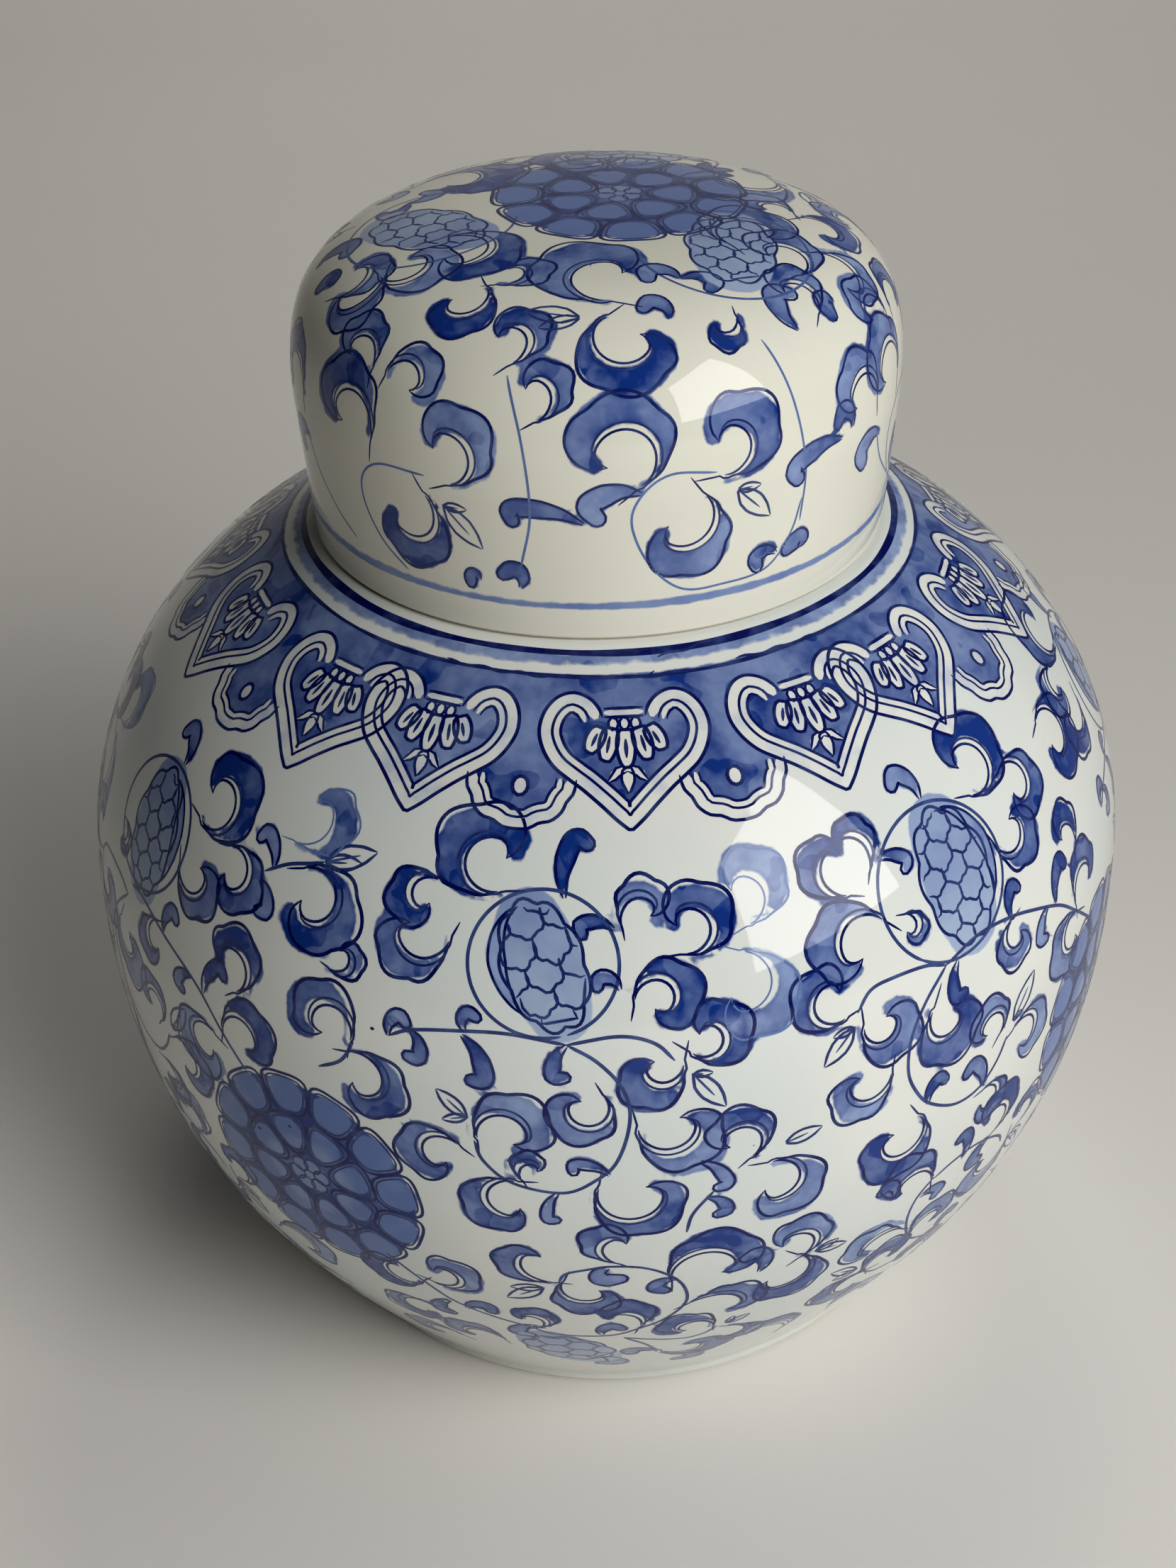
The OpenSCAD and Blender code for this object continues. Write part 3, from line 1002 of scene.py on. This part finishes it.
LID_LEAFLETS = (
    ((24, 84), (31, 91.5), (28.6, 84)),
    ((-28.5, 87), (-21.5, 95), (-24, 87)),
    ((-4, 47), (-17, 45), (-13, 49.4)),
)
LID_STEMS = (
    ((-17, 60), (-13.6, 72), (-12.4, 86), (-14.6, 98)),
    (
        (20, 79.5), (12, 78.6), (7, 82), (5, 88), (8, 97), (14, 103.4), (22, 104), (31, 103), (36, 97),
        (38, 90),
    ),
    ((33, 57), (36, 70), (38.4, 84), (38, 95)),
    ((-32, 81.5), (-42, 82), (-47, 86), (-47.6, 92), (-44, 99), (-38, 104)),
    ((0.5, 24), (-1, 28), (-2, 31)),
    ((60, 84), (64, 92), (70, 98), (76, 102)),
)
# How often the side of the lid repeats what is seen at the front, as turns in degrees.
LID_BACK_TURNS = (116.0, 232.0)


@functools.lru_cache(maxsize=None)
def lid_painting():
    """All the painting on the lid."""
    d = Drawing(lid_skin(), 11, weaker=0.05, finer=0.82)
    for turn in (0.0,) + LID_BACK_TURNS:
        draw_group(d, turn, 0, LID_LEAVES, (), LID_COMMAS, LID_LEAFLETS, LID_STEMS, stem_tone=0.75)
        scaled_bud(d, 51 + turn, 33.5, 8.5, 13, -51, 0)
        ring_stem(d, 48 + turn, 33, 17.5, -215, 80, 0.5)
    # A tiny pit in the lid's glaze, drawn as a dark dot of painted shade.
    pit_shade_dot(d, 170.6, 20.5)
    flower(d, 134, 7.4, 25.5, 11, 10, dark=0.95, line=0.9, fill=0.8)
    d.band(106, 0.8, "pale", 0.6)
    return d


# ---------------------------------------------------------------- meshes

# Printed lines, in mm: how far their keel sinks, how far each layer stands up, the steps along them, and
# the shortest one that is kept.
LINE_SINK = 0.12
LAYER_LIFT = (0.018, 0.034)
LINE_STEP = 1.0
SHORTEST_LINE = 0.8


def ribbon_mesh(name, drawing, lift=0.0):
    """One closed mesh of thin ribbons, each a flat strip with a keel below the surface."""
    skin = drawing.skin
    verts, faces, normals, tones = [], [], [], []
    count = 0
    for points, s, width, tone, layer, closed in drawing.lines:
        wide = np.broadcast_to(np.asarray(width, float), (len(points),))
        whole = np.hstack([points, s[:, None], wide[:, None]])
        run = whole
        if len(points) >= 4:
            ring = np.vstack([points, points[:1]]) if closed else points
            d = np.concatenate([[0], np.cumsum(np.linalg.norm(np.diff(ring, axis=0), axis=1))])
            if d[-1] < SHORTEST_LINE:
                continue
            n = max(4, int(round(d[-1] / LINE_STEP)) + 1)
            source = np.vstack([whole, whole[:1]]) if closed else whole
            run = np.stack([np.interp(np.linspace(0, d[-1], n), d, source[:, k]) for k in range(5)], 1)
            if closed:
                run = run[:-1]
        az, s_on = skin.land(run[:, :3], run[:, 3])
        p = skin.point(az, s_on)
        out = skin.frame(az, s_on)[2]
        way = np.roll(p, -1, 0) - np.roll(p, 1, 0) if closed else np.gradient(p, axis=0)
        way /= np.linalg.norm(way, axis=1)[:, None] + 1e-9
        side = np.cross(out, way)
        half = run[:, 4:5] / 2
        n = len(p)
        if not closed:
            half = half * np.interp(np.arange(n), [0, 1.5, n - 2.5, n - 1], [0.35, 1, 1, 0.3])[:, None]
        height = lift + LAYER_LIFT[layer]
        corners = (p + side * half + out * height, p - side * half + out * height, p - out * LINE_SINK)
        verts.append(np.stack(corners, 1).reshape(-1, 3))
        normals.append(np.repeat(out, 3, axis=0))
        tones.append(np.full(3 * n, tone))
        i = np.arange(n if closed else n - 1)
        j = (i + 1) % n
        for a, b in ((0, 1), (1, 2), (2, 0)):
            faces.append(count + np.stack([3 * i + a, 3 * i + b, 3 * j + b, 3 * j + a], 1))
        if not closed:
            e = count + 3 * (n - 1)
            faces.append(np.array([[count, count + 2, count + 1, -1], [e, e + 1, e + 2, -1]]))
        count += 3 * n
    co = np.vstack(verts) * MM
    quads = np.vstack(faces)
    mesh = bpy.data.meshes.new(name)
    mesh.from_pydata(co.tolist(), [], [[v for v in f if v >= 0] for f in quads.tolist()])
    mesh.polygons.foreach_set("use_smooth", np.ones(len(mesh.polygons), bool))
    weak = mesh.attributes.new("tone", "FLOAT", "POINT")
    weak.data.foreach_set("value", np.concatenate(tones).astype(np.float32))
    mesh.normals_split_custom_set_from_vertices(np.vstack(normals).tolist())
    mesh.validate()
    made = bpy.data.objects.new(name, mesh)
    bpy.context.scene.collection.objects.link(made)
    return made


def turned_piece(name, outline, columns):
    """Turns a closed outline about the axis: one corner is extruded along it in edit mode, then spun."""
    bpy.ops.object.select_all(action="DESELECT")
    start = Vector((outline[0][0], 0, outline[0][1])) * MM
    bpy.ops.mesh.primitive_plane_add(size=MM, location=start)
    made = bpy.context.object
    made.name = name
    made.data.name = name
    bpy.ops.object.transform_apply(location=True, rotation=True, scale=True)
    bpy.ops.object.mode_set(mode="EDIT")
    bpy.ops.mesh.select_all(action="SELECT")
    bpy.ops.mesh.merge(type="CENTER")
    for a, b in zip(outline, outline[1:]):
        step = ((b[0] - a[0]) * MM, 0, (b[1] - a[1]) * MM)
        bpy.ops.mesh.extrude_region_move(TRANSFORM_OT_translate={"value": step})
    bpy.ops.mesh.select_all(action="SELECT")
    bpy.ops.mesh.spin(steps=columns, angle=2 * math.pi, center=(0, 0, 0), axis=(0, 0, 1))
    bpy.ops.mesh.select_all(action="SELECT")
    bpy.ops.mesh.remove_doubles(threshold=2e-6)
    bpy.ops.mesh.normals_make_consistent(inside=False)
    bpy.ops.object.mode_set(mode="OBJECT")
    return made


def vertex_places(made):
    """The piece's corner points in mm."""
    co = np.empty(len(made.data.vertices) * 3, np.float32)
    made.data.vertices.foreach_get("co", co)
    return co.reshape(-1, 3).astype(float) / MM


def give(made, name, values):
    """Puts one number per corner point on a mesh, for its material to read."""
    attribute = made.data.attributes.new(name, "FLOAT", "POINT")
    attribute.data.foreach_set("value", np.asarray(values, np.float32))


def on_skin(skin, co, tolerance=0.3):
    """Which points lie on the painted outside, with their az and s."""
    r = np.hypot(co[:, 0], co[:, 1])
    best = np.full(len(co), 1e9)
    s = np.zeros(len(co))
    for k in range(0, len(skin.s), 12):
        dist = (r - skin.r[k]) ** 2 + (co[:, 2] - skin.z[k]) ** 2
        near = dist < best
        best[near] = dist[near]
        s[near] = skin.s[k]
    az, s = skin.land(co, s)
    on = np.linalg.norm(skin.point(az, s) - co, axis=1) < tolerance
    return on, az, s


# ---------------------------------------------------------------- materials


def linear(code, alpha=1.0):
    """An sRGB hex colour as linear values."""
    out = []
    for k in (1, 3, 5):
        c = int(code[k : k + 2], 16) / 255
        out.append(c / 12.92 if c <= 0.04045 else ((c + 0.055) / 1.055) ** 2.4)
    return (*out, alpha)


# Every glazed surface has the same gloss. Bare ware is nearly matt.
GLAZE_ROUGH, GLAZE_SPECULAR = 0.035, 0.4
BARE_ROUGH = 0.8
SPECK_APART = 9.0
SMOOTH = {"interpolation_type": "SMOOTHSTEP"}
COLOURS = {"data_type": "RGBA"}


def node(tree, kind, inputs=None, out=None, **settings):
    """Adds one node, sets its settings, and gives its inputs a value or a link. Returns it or one output."""
    made = tree.nodes.new(kind)
    for key, value in settings.items():
        setattr(made, key, value)
    for key, value in (inputs or {}).items():
        if isinstance(value, bpy.types.NodeSocket):
            tree.links.new(value, made.inputs[key])
        else:
            made.inputs[key].default_value = value
    return made if out is None else made.outputs[out]


def new_material(name):
    """An empty material, its node tree, and the places on the piece that its patterns follow."""
    made = bpy.data.materials.new(name)
    made.use_nodes = True
    tree = made.node_tree
    tree.nodes.clear()
    return made, tree, node(tree, "ShaderNodeTexCoord", out="Object")


def clouds(tree, at, size_mm, detail=2.0, contrast=None):
    """Soft spots about size_mm across. contrast holds the levels that become 0 and 1."""
    scale = 1 / (size_mm * MM)
    spots = node(tree, "ShaderNodeTexNoise", {"Vector": at, "Scale": scale, "Detail": detail}, "Fac")
    if contrast is None:
        return spots
    return node(tree, "ShaderNodeMapRange", {0: spots, 1: contrast[0], 2: contrast[1]}, 0, **SMOOTH)


def layered(tree, value, layer, share, operation="ADD", clamp=False):
    """A value with a share of a layer added to it or taken from it."""
    part = node(tree, "ShaderNodeMath", {0: layer, 1: share}, 0, operation="MULTIPLY")
    return node(tree, "ShaderNodeMath", {0: value, 1: part}, 0, operation=operation, use_clamp=clamp)


def surfaced(made, tree, sockets):
    """Finishes a material with one surface that has these sockets."""
    shader = node(tree, "ShaderNodeBsdfPrincipled", sockets, 0)
    node(tree, "ShaderNodeOutputMaterial", {"Surface": shader})
    return made


def glazed_porcelain(name, paint, white, shade):
    """Hard porcelain under a clear gloss glaze: sharp window reflections over a faint orange-peel ripple.

    The cobalt washes are brushed on under the glaze, so they have no relief of their own. Their edges are
    watery, with colour pooled along them, and the ware is bare and matt where it stood in the kiln.
    """
    made, tree, at = new_material(name)
    own = {}
    for key in ("wash_mm", "wash_tone", "pale_mm", "pale_tone", "bare"):
        own[key] = node(tree, "ShaderNodeAttribute", out="Fac", attribute_name=key)
    ragged = node(tree, "ShaderNodeMath", {0: clouds(tree, at, 3.0), 1: 0.5}, 0, operation="SUBTRACT")
    blotch = clouds(tree, at, 11.0, 3.0, (0.36, 0.66))
    blot = clouds(tree, at, 8.0, 1.0, (0.585, 0.605))
    fine = clouds(tree, at, 2.2, 3.0, (0.3, 0.7))
    wash = layered(tree, own["wash_mm"], ragged, 1.1)
    pale = layered(tree, own["pale_mm"], ragged, 0.7)
    # Inputs 1 and 2 of a Map Range are the values that become 0 and 1, or inputs 3 and 4 if it has those.
    in_wash = node(tree, "ShaderNodeMapRange", {0: wash, 1: 0.3, 2: -0.3}, 0, **SMOOTH)
    in_pale = node(tree, "ShaderNodeMapRange", {0: pale, 1: 0.25, 2: -0.25}, 0, **SMOOTH)
    pooled = node(tree, "ShaderNodeMapRange", {0: wash, 1: -1.3, 2: -0.1}, 0, **SMOOTH)
    strength = node(tree, "ShaderNodeMath", {0: own["wash_tone"], 1: 0.74}, 0, operation="MULTIPLY")
    for layer, share in ((blotch, 0.4), (blot, 0.22), (pooled, 0.16)):
        strength = layered(tree, strength, layer, share)
    strength = layered(tree, strength, fine, 0.12, "SUBTRACT", clamp=True)
    washes = {0: strength, 6: paint["wash_light"], 7: paint["wash_dark"]}
    cobalt = node(tree, "ShaderNodeMix", washes, 2, **COLOURS)
    fade = layered(tree, own["pale_tone"], blotch, 0.25, clamp=True)
    thin = node(tree, "ShaderNodeMix", {0: fade, 6: paint["wash_pale"], 7: paint["wash_mid"]}, 2, **COLOURS)
    cloud = clouds(tree, at, 70.0, contrast=(0.35, 0.65))
    ground = node(tree, "ShaderNodeMix", {0: cloud, 6: white, 7: shade}, 2, **COLOURS)
    # Iron specks in the body, 0.4 mm across and a few centimetres apart.
    cells = node(tree, "ShaderNodeTexVoronoi", {"Vector": at, "Scale": 1 / (SPECK_APART * MM)})
    lot = node(tree, "ShaderNodeSeparateColor", {0: cells.outputs["Color"]}, 0)
    chosen = node(tree, "ShaderNodeMapRange", {0: lot, 1: 0.9, 2: 0.92}, 0, **SMOOTH)
    close = node(tree, "ShaderNodeMapRange", {0: cells.outputs["Distance"], 1: 0.045, 2: 0.02}, 0, **SMOOTH)
    speck = node(tree, "ShaderNodeMath", {0: close, 1: chosen}, 0, operation="MULTIPLY")
    faint = node(tree, "ShaderNodeMath", {0: speck, 1: 0.55}, 0, operation="MULTIPLY")
    bare = node(tree, "ShaderNodeMapRange", {0: own["bare"], 1: 0.35, 2: 0.65}, 0, **SMOOTH)
    grain = clouds(tree, at, 0.9, 4.0, (0.3, 0.7))
    clays = {0: grain, 6: linear("#d9cfbd"), 7: linear("#c9bca6")}
    biscuit = node(tree, "ShaderNodeMix", clays, 2, **COLOURS)
    colour = ground
    for share, over in ((in_wash, cobalt), (in_pale, thin), (faint, linear("#8a7350")), (bare, biscuit)):
        colour = node(tree, "ShaderNodeMix", {0: share, 6: colour, 7: over}, 2, **COLOURS)
    rough = node(tree, "ShaderNodeMapRange", {0: bare, 1: 0.0, 2: 1.0, 3: GLAZE_ROUGH, 4: BARE_ROUGH}, 0)
    ripple = clouds(tree, at, 7.0, 1.0)
    bump = node(tree, "ShaderNodeBump", {"Strength": 0.04, "Distance": 0.0004, "Height": ripple}, 0)
    sockets = {"Base Color": colour, "Roughness": rough, "Normal": bump, "Specular IOR Level": GLAZE_SPECULAR}
    return surfaced(made, tree, sockets)


def printed_cobalt(name, paint):
    """Cobalt oxide transfer print under the same glaze: near-black blue where thick, mid blue where worn."""
    made, tree, at = new_material(name)
    patch = clouds(tree, at, 5.0, 3.0, (0.42, 0.7))
    tone = node(tree, "ShaderNodeAttribute", out="Fac", attribute_name="tone")
    weak = layered(tree, tone, patch, 0.22, clamp=True)
    inks = {0: weak, 6: paint["line_dark"], 7: paint["line_weak"]}
    colour = node(tree, "ShaderNodeMix", inks, 2, **COLOURS)
    sockets = {"Base Color": colour, "Roughness": GLAZE_ROUGH, "Specular IOR Level": GLAZE_SPECULAR}
    return surfaced(made, tree, sockets)


def reserved_white(name, paint):
    """Bare white ware left between printed lines, under the same glaze, with a breath of blue in it."""
    made, tree, at = new_material(name)
    cloud = clouds(tree, at, 6.0, 3.0, (0.4, 0.75))
    whites = {0: cloud, 6: paint["white_jar"], 7: linear("#c3cbd8")}
    colour = node(tree, "ShaderNodeMix", whites, 2, **COLOURS)
    sockets = {"Base Color": colour, "Roughness": GLAZE_ROUGH, "Specular IOR Level": GLAZE_SPECULAR}
    return surfaced(made, tree, sockets)


def plain_matt(name, code, roughness=0.9):
    """Heavy matt paper, slightly darker in broad clouds."""
    made, tree, at = new_material(name)
    light = linear(code)
    darker = (light[0] * 0.94, light[1] * 0.94, light[2] * 0.94, 1)
    colour = node(tree, "ShaderNodeMix", {0: clouds(tree, at, 400.0), 6: light, 7: darker}, 2, **COLOURS)
    return surfaced(made, tree, {"Base Color": colour, "Roughness": roughness})


# ---------------------------------------------------------------- settings


def paint_setting(name, description, code):
    """A colour that a user may change, which starts as an sRGB hex value."""
    default = linear(code)
    return FloatVectorProperty(name=name, description=description, size=4, subtype="COLOR", default=default)


class GingerJarSettings(bpy.types.PropertyGroup):
    """Sizes and colours that change how the jar is modelled and painted."""

    jar_columns: IntProperty(name="Jar Columns", description="Faces round it", default=400, min=60, max=720)
    lid_columns: IntProperty(name="Lid Columns", description="Faces round it", default=300, min=60, max=720)
    row_step: FloatProperty(name="Row Step", description="Height of a row", default=1.5 * MM, unit="LENGTH")
    white_jar: paint_setting("Jar White", "Glazed ware of the jar", "#e2e4de")
    white_lid: paint_setting("Lid White", "Glazed ware of the lid", "#e4e3d6")
    wash_dark: paint_setting("Dark Wash", "Thick cobalt wash", "#173b86")
    wash_light: paint_setting("Light Wash", "Thin cobalt wash", "#9aacd0")
    wash_mid: paint_setting("Mid Wash", "Cobalt wash inside petals", "#637bb1")
    wash_pale: paint_setting("Pale Wash", "Palest cobalt wash", "#a7b7d0")
    line_dark: paint_setting("Dark Line", "Thick printed line", "#06155c")
    line_weak: paint_setting("Weak Line", "Thin printed line", "#6a82b3")


def colours():
    """The colours as they are set, by name."""
    s = bpy.context.scene.ginger_jar
    whites = ("white_jar", "white_lid")
    blues = ("wash_dark", "wash_light", "wash_mid", "wash_pale", "line_dark", "line_weak")
    return {n: tuple(getattr(s, n)) for n in whites + blues}


# ---------------------------------------------------------------- operators


SMOOTH_ANGLE = math.radians(40)
# How far apart the rows are in mm: on the lid, inside the lid, and inside the jar.
LID_ROW, LID_INSIDE_ROW, JAR_INSIDE_ROW = 1.15, 4.5, 6.5
RING_S, RING_HALF, RING_TONE = 3.5, 1.1, 0.05


def finish_piece(made, body, material):
    made.data.materials.clear()
    made.data.materials.append(material)
    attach(made, body)


def painted_fields(co, painting):
    """What a glazed piece's material reads about its washes, and which points are painted, with az and s."""
    on, az, s = on_skin(painting.skin, co)
    fields = {}
    for kind, plain_tone in (("wash", 0.5), ("pale", 0.0)):
        value, tone = np.full(len(co), NO_WASH), np.full(len(co), plain_tone)
        value[on], tone[on] = painting.field(co[on], kind)
        fields[kind + "_mm"] = value
        fields[kind + "_tone"] = tone
    return fields, on, az, s


def ready_for_glaze(made, fields, bare):
    """Gives a turned piece its fields and its bare places, and smooths it."""
    for name, values in fields.items():
        give(made, name, values)
    give(made, "bare", bare.astype(float))
    bpy.ops.object.shade_smooth_by_angle(angle=SMOOTH_ANGLE)


class GINGERJAR_OT_jar(bpy.types.Operator):
    """Model the porcelain jar, paint its washes and glaze it"""

    bl_idname = "ginger_jar.jar"
    bl_label = "Porcelain Jar"

    def execute(self, context):
        s = context.scene.ginger_jar
        underside, skin_line, neck, inside = jar_outlines()
        base = (spaced(underside[:2], 12), spaced(underside[1:4], 2)[1:], spaced(underside[3:5], 4)[1:])
        upper_neck = [(NECK_R, NECK_TOP - 12), (NECK_R, NECK_TOP - 6)]
        outside = (underside[5:], spaced(skin_line, s.row_step / MM), neck, upper_neck)
        outline = np.vstack([*base, *outside, spaced(inside, JAR_INSIDE_ROW)])
        made = turned_piece("jar_porcelain_body", outline, s.jar_columns)
        co = vertex_places(made)
        fields, on, az, places = painted_fields(co, jar_foliage())
        wash, tone, pale = fields["wash_mm"], fields["wash_tone"], fields["pale_mm"]
        top = np.flatnonzero(on & (places < COLLAR_REACH))
        a, b = az[top], places[top]
        ground, shade = collar_ground(a, b)
        # The collar's ground lies over the foliage, and no foliage shows through it.
        use = (ground < wash[top]) | (ground < 0)
        wash[top[use]], tone[top[use]] = ground[use], shade[use]
        pale[top[ground < 1.5]] = NO_WASH
        ring = np.abs(b - RING_S) - RING_HALF
        use = ring < wash[top]
        wash[top[use]], tone[top[use]] = ring[use], RING_TONE
        # The ware is bare under the foot ring, and on the seat from the neck out to the lid's rim.
        r = np.hypot(co[:, 0], co[:, 1])
        stood = (co[:, 2] < 0.5) & (r > 60)
        seat = (np.abs(co[:, 2] - SEAT_Z) < 0.6) & (r > NECK_R - 0.5) & (r < 59)
        ready_for_glaze(made, fields, stood | seat)
        paint = colours()
        glazed = glazed_porcelain("glazed_porcelain_jar", paint, paint["white_jar"], linear("#d9dfdc"))
        finish_piece(made, "jar", glazed)
        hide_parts("jar")
        return {"FINISHED"}


class GINGERJAR_OT_lid(bpy.types.Operator):
    """Model the porcelain lid, paint its washes and glaze it"""

    bl_idname = "ginger_jar.lid"
    bl_label = "Porcelain Lid"

    def execute(self, context):
        s = context.scene.ginger_jar
        skin_line, inside = lid_outlines()
        outline = np.vstack([spaced(skin_line, LID_ROW), inside[:3], spaced(inside[3:], LID_INSIDE_ROW)])
        made = turned_piece("lid_porcelain_cap", outline, s.lid_columns)
        co = vertex_places(made)
        fields = painted_fields(co, lid_painting())[0]
        ready_for_glaze(made, fields, co[:, 2] < RIM_Z + 0.3)
        paint = colours()
        glazed = glazed_porcelain("glazed_porcelain_lid", paint, paint["white_lid"], linear("#dfdfd2"))
        finish_piece(made, "lid", glazed)
        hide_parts("lid")
        return {"FINISHED"}


class GINGERJAR_OT_collar(bpy.types.Operator):
    """Lay the collar's white bands and printed lines on the shoulder"""

    bl_idname = "ginger_jar.collar"
    bl_label = "Collar Print"

    def execute(self, context):
        lines, bands, _, _ = collar()
        paint = colours()
        white = ribbon_mesh("collar_white_bands", bands, lift=-0.008)
        finish_piece(white, "jar", reserved_white("reserved_white_ware", paint))
        dark = ribbon_mesh("collar_printed_lines", lines, lift=0.006)
        finish_piece(dark, "jar", printed_cobalt("printed_cobalt_collar", paint))
        return {"FINISHED"}


class GINGERJAR_OT_foliage(bpy.types.Operator):
    """Lay the printed outlines of the foliage on the jar"""

    bl_idname = "ginger_jar.foliage"
    bl_label = "Foliage Print"

    def execute(self, context):
        made = ribbon_mesh("foliage_printed_lines", jar_foliage())
        finish_piece(made, "jar", printed_cobalt("printed_cobalt_foliage", colours()))
        return {"FINISHED"}


class GINGERJAR_OT_lid_print(bpy.types.Operator):
    """Lay the printed outlines on the lid"""

    bl_idname = "ginger_jar.lid_print"
    bl_label = "Lid Print"

    def execute(self, context):
        made = ribbon_mesh("lid_printed_lines", lid_painting())
        finish_piece(made, "lid", printed_cobalt("printed_cobalt_lid", colours()))
        return {"FINISHED"}


# The camera looks down on the jar at this pitch, from this far, at a point on the belly.
CAMERA_PITCH = 33.4
CAMERA_ROLL = -1.373
CAMERA_DISTANCE = 0.5399
CAMERA_TARGET = (-0.0038, 0.0, 0.1165)
CAMERA_LENS = 54.03
# The floor in metres: its side, its squares along a side, and where and how steeply it sweeps up behind.
FLOOR_SIDE, FLOOR_SQUARES = 8, 24
SWEEP_START, SWEEP_RISE = 1.0, 0.45
# Each light: name, place, the point it faces, its width and height in metres, watts and colour.
LIGHTS = (
    ("window_right", (1.0, -1.19, 1.12), (0, -1.19, 1.12), (1.45, 1.3), 27, (1, 0.99, 0.975)),
    ("fill_backdrop", (0.2, 1.1, 1.6), (0.1, 2.0, 0.2), (1.6, 0.5), 8, (1, 0.985, 0.95)),
    ("fill_front", (0.35, -0.8, 0.7), (0.3, -0.6, 0), (0.8, 0.3), 2.4, (1, 0.99, 0.975)),
)
# The room: dim in front and to the left, brighter towards this side, and grey beyond the floor's edge.
ROOM_BRIGHT_SIDE = (0.8, 0.5, 0.33)
ROOM_DIM, ROOM_BRIGHT, ROOM_SEEN = 0.002, 0.14, 0.3


class GINGERJAR_OT_stage(bpy.types.Operator):
    """Set up the floor, the backdrop, the lights and the camera"""

    bl_idname = "ginger_jar.stage"
    bl_label = "Stage"

    def execute(self, context):
        scene = context.scene
        bpy.ops.object.select_all(action="DESELECT")
        squares = {"x_subdivisions": FLOOR_SQUARES, "y_subdivisions": FLOOR_SQUARES}
        bpy.ops.mesh.primitive_grid_add(**squares, size=FLOOR_SIDE, location=(0, 0, CAD_BOX[0].z))
        floor = context.object
        floor.name = "stage_floor"
        bpy.ops.object.transform_apply(location=True)
        for v in floor.data.vertices:
            away = max(0.0, v.co.y - SWEEP_START)
            v.co.z += SWEEP_RISE * away * away
        floor.data.update()
        bpy.ops.object.shade_smooth()
        floor.data.materials.append(plain_matt("matt_paper_floor", "#f1eee9"))
        target = Vector(CAMERA_TARGET)
        pitch = math.radians(CAMERA_PITCH)
        forward = Vector((0, math.cos(pitch), -math.sin(pitch)))
        data = bpy.data.cameras.new("jar_camera")
        data.sensor_width = 36
        data.lens = CAMERA_LENS
        data.clip_start, data.clip_end = 0.01, 50
        camera = bpy.data.objects.new("jar_camera", data)
        scene.collection.objects.link(camera)
        roll = Matrix.Rotation(math.radians(CAMERA_ROLL), 4, "Z")
        turn = forward.to_track_quat("-Z", "Y").to_matrix().to_4x4() @ roll
        camera.matrix_world = Matrix.Translation(target - forward * CAMERA_DISTANCE) @ turn
        scene.camera = camera
        for name, place, aim, size, energy, colour in LIGHTS:
            light = bpy.data.lights.new(name, "AREA")
            light.shape = "RECTANGLE"
            light.size, light.size_y = size
            light.energy = energy
            light.color = colour
            lamp = bpy.data.objects.new(name, light)
            lamp.location = place
            # Only the window shows in the glaze.
            lamp.visible_glossy = name == "window_right"
            lamp.rotation_mode = "QUATERNION"
            lamp.rotation_quaternion = (Vector(place) - Vector(aim)).to_track_quat("Z", "X")
            scene.collection.objects.link(lamp)
        world = bpy.data.worlds.new("studio")
        world.use_nodes = True
        tree = world.node_tree
        way = node(tree, "ShaderNodeTexCoord", out="Generated")
        sides = {0: way, 1: ROOM_BRIGHT_SIDE}
        lit = node(tree, "ShaderNodeVectorMath", sides, "Value", operation="DOT_PRODUCT")
        room = {0: lit, 1: -0.2, 2: 0.95, 3: ROOM_DIM, 4: ROOM_BRIGHT}
        level = node(tree, "ShaderNodeMapRange", room, 0, **SMOOTH)
        seen = node(tree, "ShaderNodeLightPath", out="Is Camera Ray")
        level = node(tree, "ShaderNodeMapRange", {0: seen, 1: 0.0, 2: 1.0, 3: level, 4: ROOM_SEEN}, 0)
        tree.links.new(level, tree.nodes["Background"].inputs["Strength"])
        tree.nodes["Background"].inputs["Color"].default_value = (1, 1, 1, 1)
        scene.view_settings.view_transform = "Standard"
        scene.view_settings.look = "Medium High Contrast"
        scene.world = world
        return {"FINISHED"}


class GINGERJAR_PT_panel(bpy.types.Panel):
    """Lists the jar's settings and the steps that build it"""

    bl_idname = "GINGERJAR_PT_panel"
    bl_label = "Ginger Jar"
    bl_space_type = "VIEW_3D"
    bl_region_type = "UI"
    bl_category = "Ginger Jar"

    def draw(self, context):
        settings = context.scene.ginger_jar
        for key in settings.bl_rna.properties.keys():
            if key not in ("rna_type", "name"):
                self.layout.prop(settings, key)
        for step in STEPS:
            self.layout.operator(step.bl_idname)


STEPS = (
    GINGERJAR_OT_jar,
    GINGERJAR_OT_lid,
    GINGERJAR_OT_collar,
    GINGERJAR_OT_foliage,
    GINGERJAR_OT_lid_print,
    GINGERJAR_OT_stage,
)


def register():
    bpy.utils.register_class(GingerJarSettings)
    for step in STEPS:
        bpy.utils.register_class(step)
    bpy.utils.register_class(GINGERJAR_PT_panel)
    bpy.types.Scene.ginger_jar = PointerProperty(type=GingerJarSettings)


def unregister():
    del bpy.types.Scene.ginger_jar
    bpy.utils.unregister_class(GINGERJAR_PT_panel)
    for step in reversed(STEPS):
        bpy.utils.unregister_class(step)
    bpy.utils.unregister_class(GingerJarSettings)


def main():
    register()
    bpy.ops.ginger_jar.jar()
    bpy.ops.ginger_jar.lid()
    bpy.ops.ginger_jar.collar()
    bpy.ops.ginger_jar.foliage()
    bpy.ops.ginger_jar.lid_print()
    bpy.ops.ginger_jar.stage()


if __name__ == "__main__":
    main()
